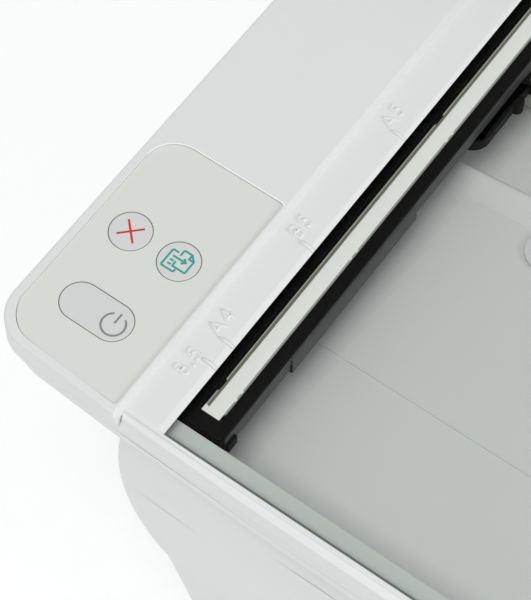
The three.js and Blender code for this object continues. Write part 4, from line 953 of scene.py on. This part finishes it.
def cradle():
    x0, y0 = CRADLE_LO.x, CRADLE_LO.y
    x1, y1 = CRADLE_HI.x, CRADLE_HI.y
    core = prism("cradle", rounded(x0, SIDE_X, y0, y1, 1.4), BAR_BOTTOM, CRADLE_HI.z)
    deep = (BAR_BOTTOM - 0.8, BAR_BOTTOM + 2.2)
    parts = [block("deeper", SIDE_X - 2, SIDE_X + 0.5, *DEEP_Y, *deep)]
    for y in (y0 + 1.7, y1 - 5):
        parts.append(block("foot", SIDE_X - 1, SIDE_X + 0.9, y, y + 3, BAR_BOTTOM, BAR_BOTTOM + 3))
    parts.append(drive_bracket())
    plate = block("plate", x0 + 1, x1, BRACKET_BACK, 18, *BRACKET_Z)
    boolean(plate, [block("well", SIDE_X, x1 - 1.2, BRACKET_BACK + 1.2, 16, 125.2, 130)])
    parts.append(plate)
    rib_z = (123.5, BAR_BOTTOM + 0.35)
    for y in (-41, -37):
        parts.append(block("rib", SIDE_X - 1, BRACKET_X - 0.4, y, y + 0.8, *rib_z))
    parts.append(prism("roller_foot", circle(BRACKET_X, -32, 1.5), *BRACKET_Z))
    rod_y = (ROD_LO.y + ROD_HI.y) / 2
    rod_z = (ROD_LO.z + ROD_HI.z) / 2
    parts.append(block("slider", x0 + 1, x1 - 1, rod_y - 5, rod_y + 5, rod_z - 5, 123.7))
    boolean(core, parts, "UNION")
    rod = prism_y("rod", circle(0, 0, 3.3), x0 - 2, x1 + 2)
    across = Matrix.Rotation(math.pi / 2, 4, "Z")
    rod.data.transform(Matrix.Translation(Vector((0, rod_y, rod_z)) * MM) @ across)
    low, high = PINION_LO, PINION_HI
    span = (118, BAR_BOTTOM + 0.9)
    window = block("window", low.x - 0.8, high.x + 0.8, low.y - 0.5, high.y + 0.5, *span)
    boolean(core, [rod, window])
    clean(core)
    bevel(core, 0.22, 35, 3)
    place(core, "scan_carriage", "black_plastic", BLACK, "sensor_cradle")
    # Side wall, painted a lighter grey than the black top to stand in for the light it catches,
    # with its deeper stretch.
    wall_x = SIDE_X - 0.1
    wall_z = (BAR_BOTTOM + 0.15, CRADLE_HI.z - 0.35)
    side = block("cradle_side_painted_light", wall_x, SIDE_X + 0.12, y0 + 1.6, y1 - 1.5, *wall_z)
    deep = (DEEP_Y[0] + 0.1, DEEP_Y[1] - 0.1, BAR_BOTTOM - 0.7, CRADLE_HI.z - 0.9)
    boolean(side, [block("step", wall_x, SIDE_X + 0.67, *deep)], "UNION")
    bevel(side, 0.1, 35, 2)
    place(side, "scan_carriage", "black_plastic", SIDE_LIT_GREY)


def sensor_top():
    """The black top, with a groove for the light guide and the lens."""
    y0, y1 = CRADLE_LO.y, CRADLE_HI.y
    outline = rounded(CRADLE_LO.x + 1.1, SIDE_X - 0.12, y0 + 0.35, y1 - 0.5, 1.2)
    top = prism("sensor_top", outline, BAR_BOTTOM + 1, BAR_TOP)
    x0, x1 = LENS_LO.x - 0.15, GUIDE_HI.x + 0.55
    boolean(top, [block("groove", x0, x1, y0 + 4.2, y1 - 3, BAR_TOP - 1.4, BAR_TOP + 1)])
    bevel(top, 0.25, 35, 3)
    place(top, "scan_carriage", "black_plastic", BLACK_GLOSS, "sensor_housing")


def light_guide():
    """The white light guide: its front end is wider, and tabs stand out on its right edge."""
    x0, x1 = GUIDE_LO.x, GUIDE_HI.x
    y0, y1 = GUIDE_LO.y, GUIDE_HI.y
    outline = [(x0 + 0.3, y0 - 0.1), (x0 + 1.5, y0 - 0.6), (x1, y0 + 0.5)]
    for y in [tab + shift for tab in TABS for shift in (0, TAB_STEP)]:
        outline += [(x1, y), (x1 + 0.28, y + 0.1), (x1 + 0.28, y + 0.75), (x1, y + 0.85)]
    outline += [(x1, y1), (x0, y1), (x0, -134.6), (x0 - 0.95, -134.3)]
    outline += [(x0 - 0.95, y0 + 0.9), (x0 - 0.6, y0 + 0.3)]
    guide = prism("light_guide_fine", outline, GUIDE_LO.z, BAR_TOP - 0.15)
    bevel(guide, 0.16, 35, 3)
    place(guide, "scan_carriage", "guide_white", GUIDE_WHITE, "light_guide")
    seat_z = (BAR_TOP - 1.2, BAR_TOP - 0.22)
    seat = block("guide_seat", x1 - 0.2, x1 + 0.42, y0 + 2.5, y1 - 1, *seat_z)
    place(seat, "scan_carriage", "black_plastic", SEAT_GREY)


def lens_strip():
    x = GUIDE_LO.x
    y0, y1, z0 = LENS_LO.y, LENS_HI.y, LENS_LO.z
    lens = block("lens_strip_fine", x - 0.55, x - 0.02, y0, y1, z0, BAR_TOP - 0.3)
    bevel(lens, 0.06, 35, 2)
    place(lens, "scan_carriage", "lens_olive", OLIVE, "lens_strip")
    edges = [(y0, -130.6), (-127.6, -51.2), (-48.1, 12), (15, y1)]
    for i, (a, b) in enumerate(edges):
        strip = block("lens_edge_" + str(i), x - 0.85, x - 0.58, a, b, z0, BAR_TOP - 0.1)
        bevel(strip, 0.05, 35, 2)
        place(strip, "scan_carriage", "lens_olive", BEIGE)


cradle()
sensor_top()
light_guide()
lens_strip()

# ---------- details under the glass ----------
# A rounded ridge before the pan's channel: its profile in Y and Z, and the line that it follows.
RIDGE = [
    (-8.5, -0.3), (-6, 0.12), (-3.2, 0.75), (-1.4, 1.35), (-0.7, 1.55), (-0.2, 1.5), (0.1, 1.2),
    (0.25, 0.6), (0.3, -1), (0, -3),
]
RIDGE_LINE = [(-174.9, -48.5), (-160, -47.3), (-143, -45.9), (-120, -45.4), (158.9, -45.4)]
RIDGE_Z = 116
LEDGE_BACK = -140.95


def pan_details():
    # A dark green strip painted on the glass along the front bar: partly the green of the glass's
    # edge, partly painted shade cast by the front bar.
    top = GLASS_HI.z
    y1 = OPEN_Y0 + 0.45 * (STRIP_Z - top) + 0.22
    line_z = (top + 0.005, top + 0.06)
    line = block("glass_edge", OPEN_X0 + 0.1, OPEN_X1 - 0.1, OPEN_Y0, y1, *line_z)
    place(line, "body", "black_plastic", EDGE_SHADE_GREEN)
    low, high = GLASS_LO, GLASS_HI
    ledge_z = (low.z - 0.45, low.z - 0.12)
    ledge = block("front_ledge", low.x + 0.5, high.x - 0.5, low.y + 0.4, LEDGE_BACK, *ledge_z)
    bevel(ledge, 0.1, 35, 2)
    place(ledge, "body", "shell_white", LEDGE_GREY)
    rings = [[Vector((x, y + dy, RIDGE_Z + dz)) for dy, dz in RIDGE] for x, y in RIDGE_LINE]
    ridge = loft("pan_ridge", rings)
    smooth(ridge, 50)
    place(ridge, "body", "shell_white", TUB_GREY)


pan_details()

# The other CAD nodes show as they are, with their own finishes.
for node, obj in frame["nodes"].items():
    obj.data.materials.clear()
    obj.data.materials.append(LOOKS[NODE_SLOT[node]])
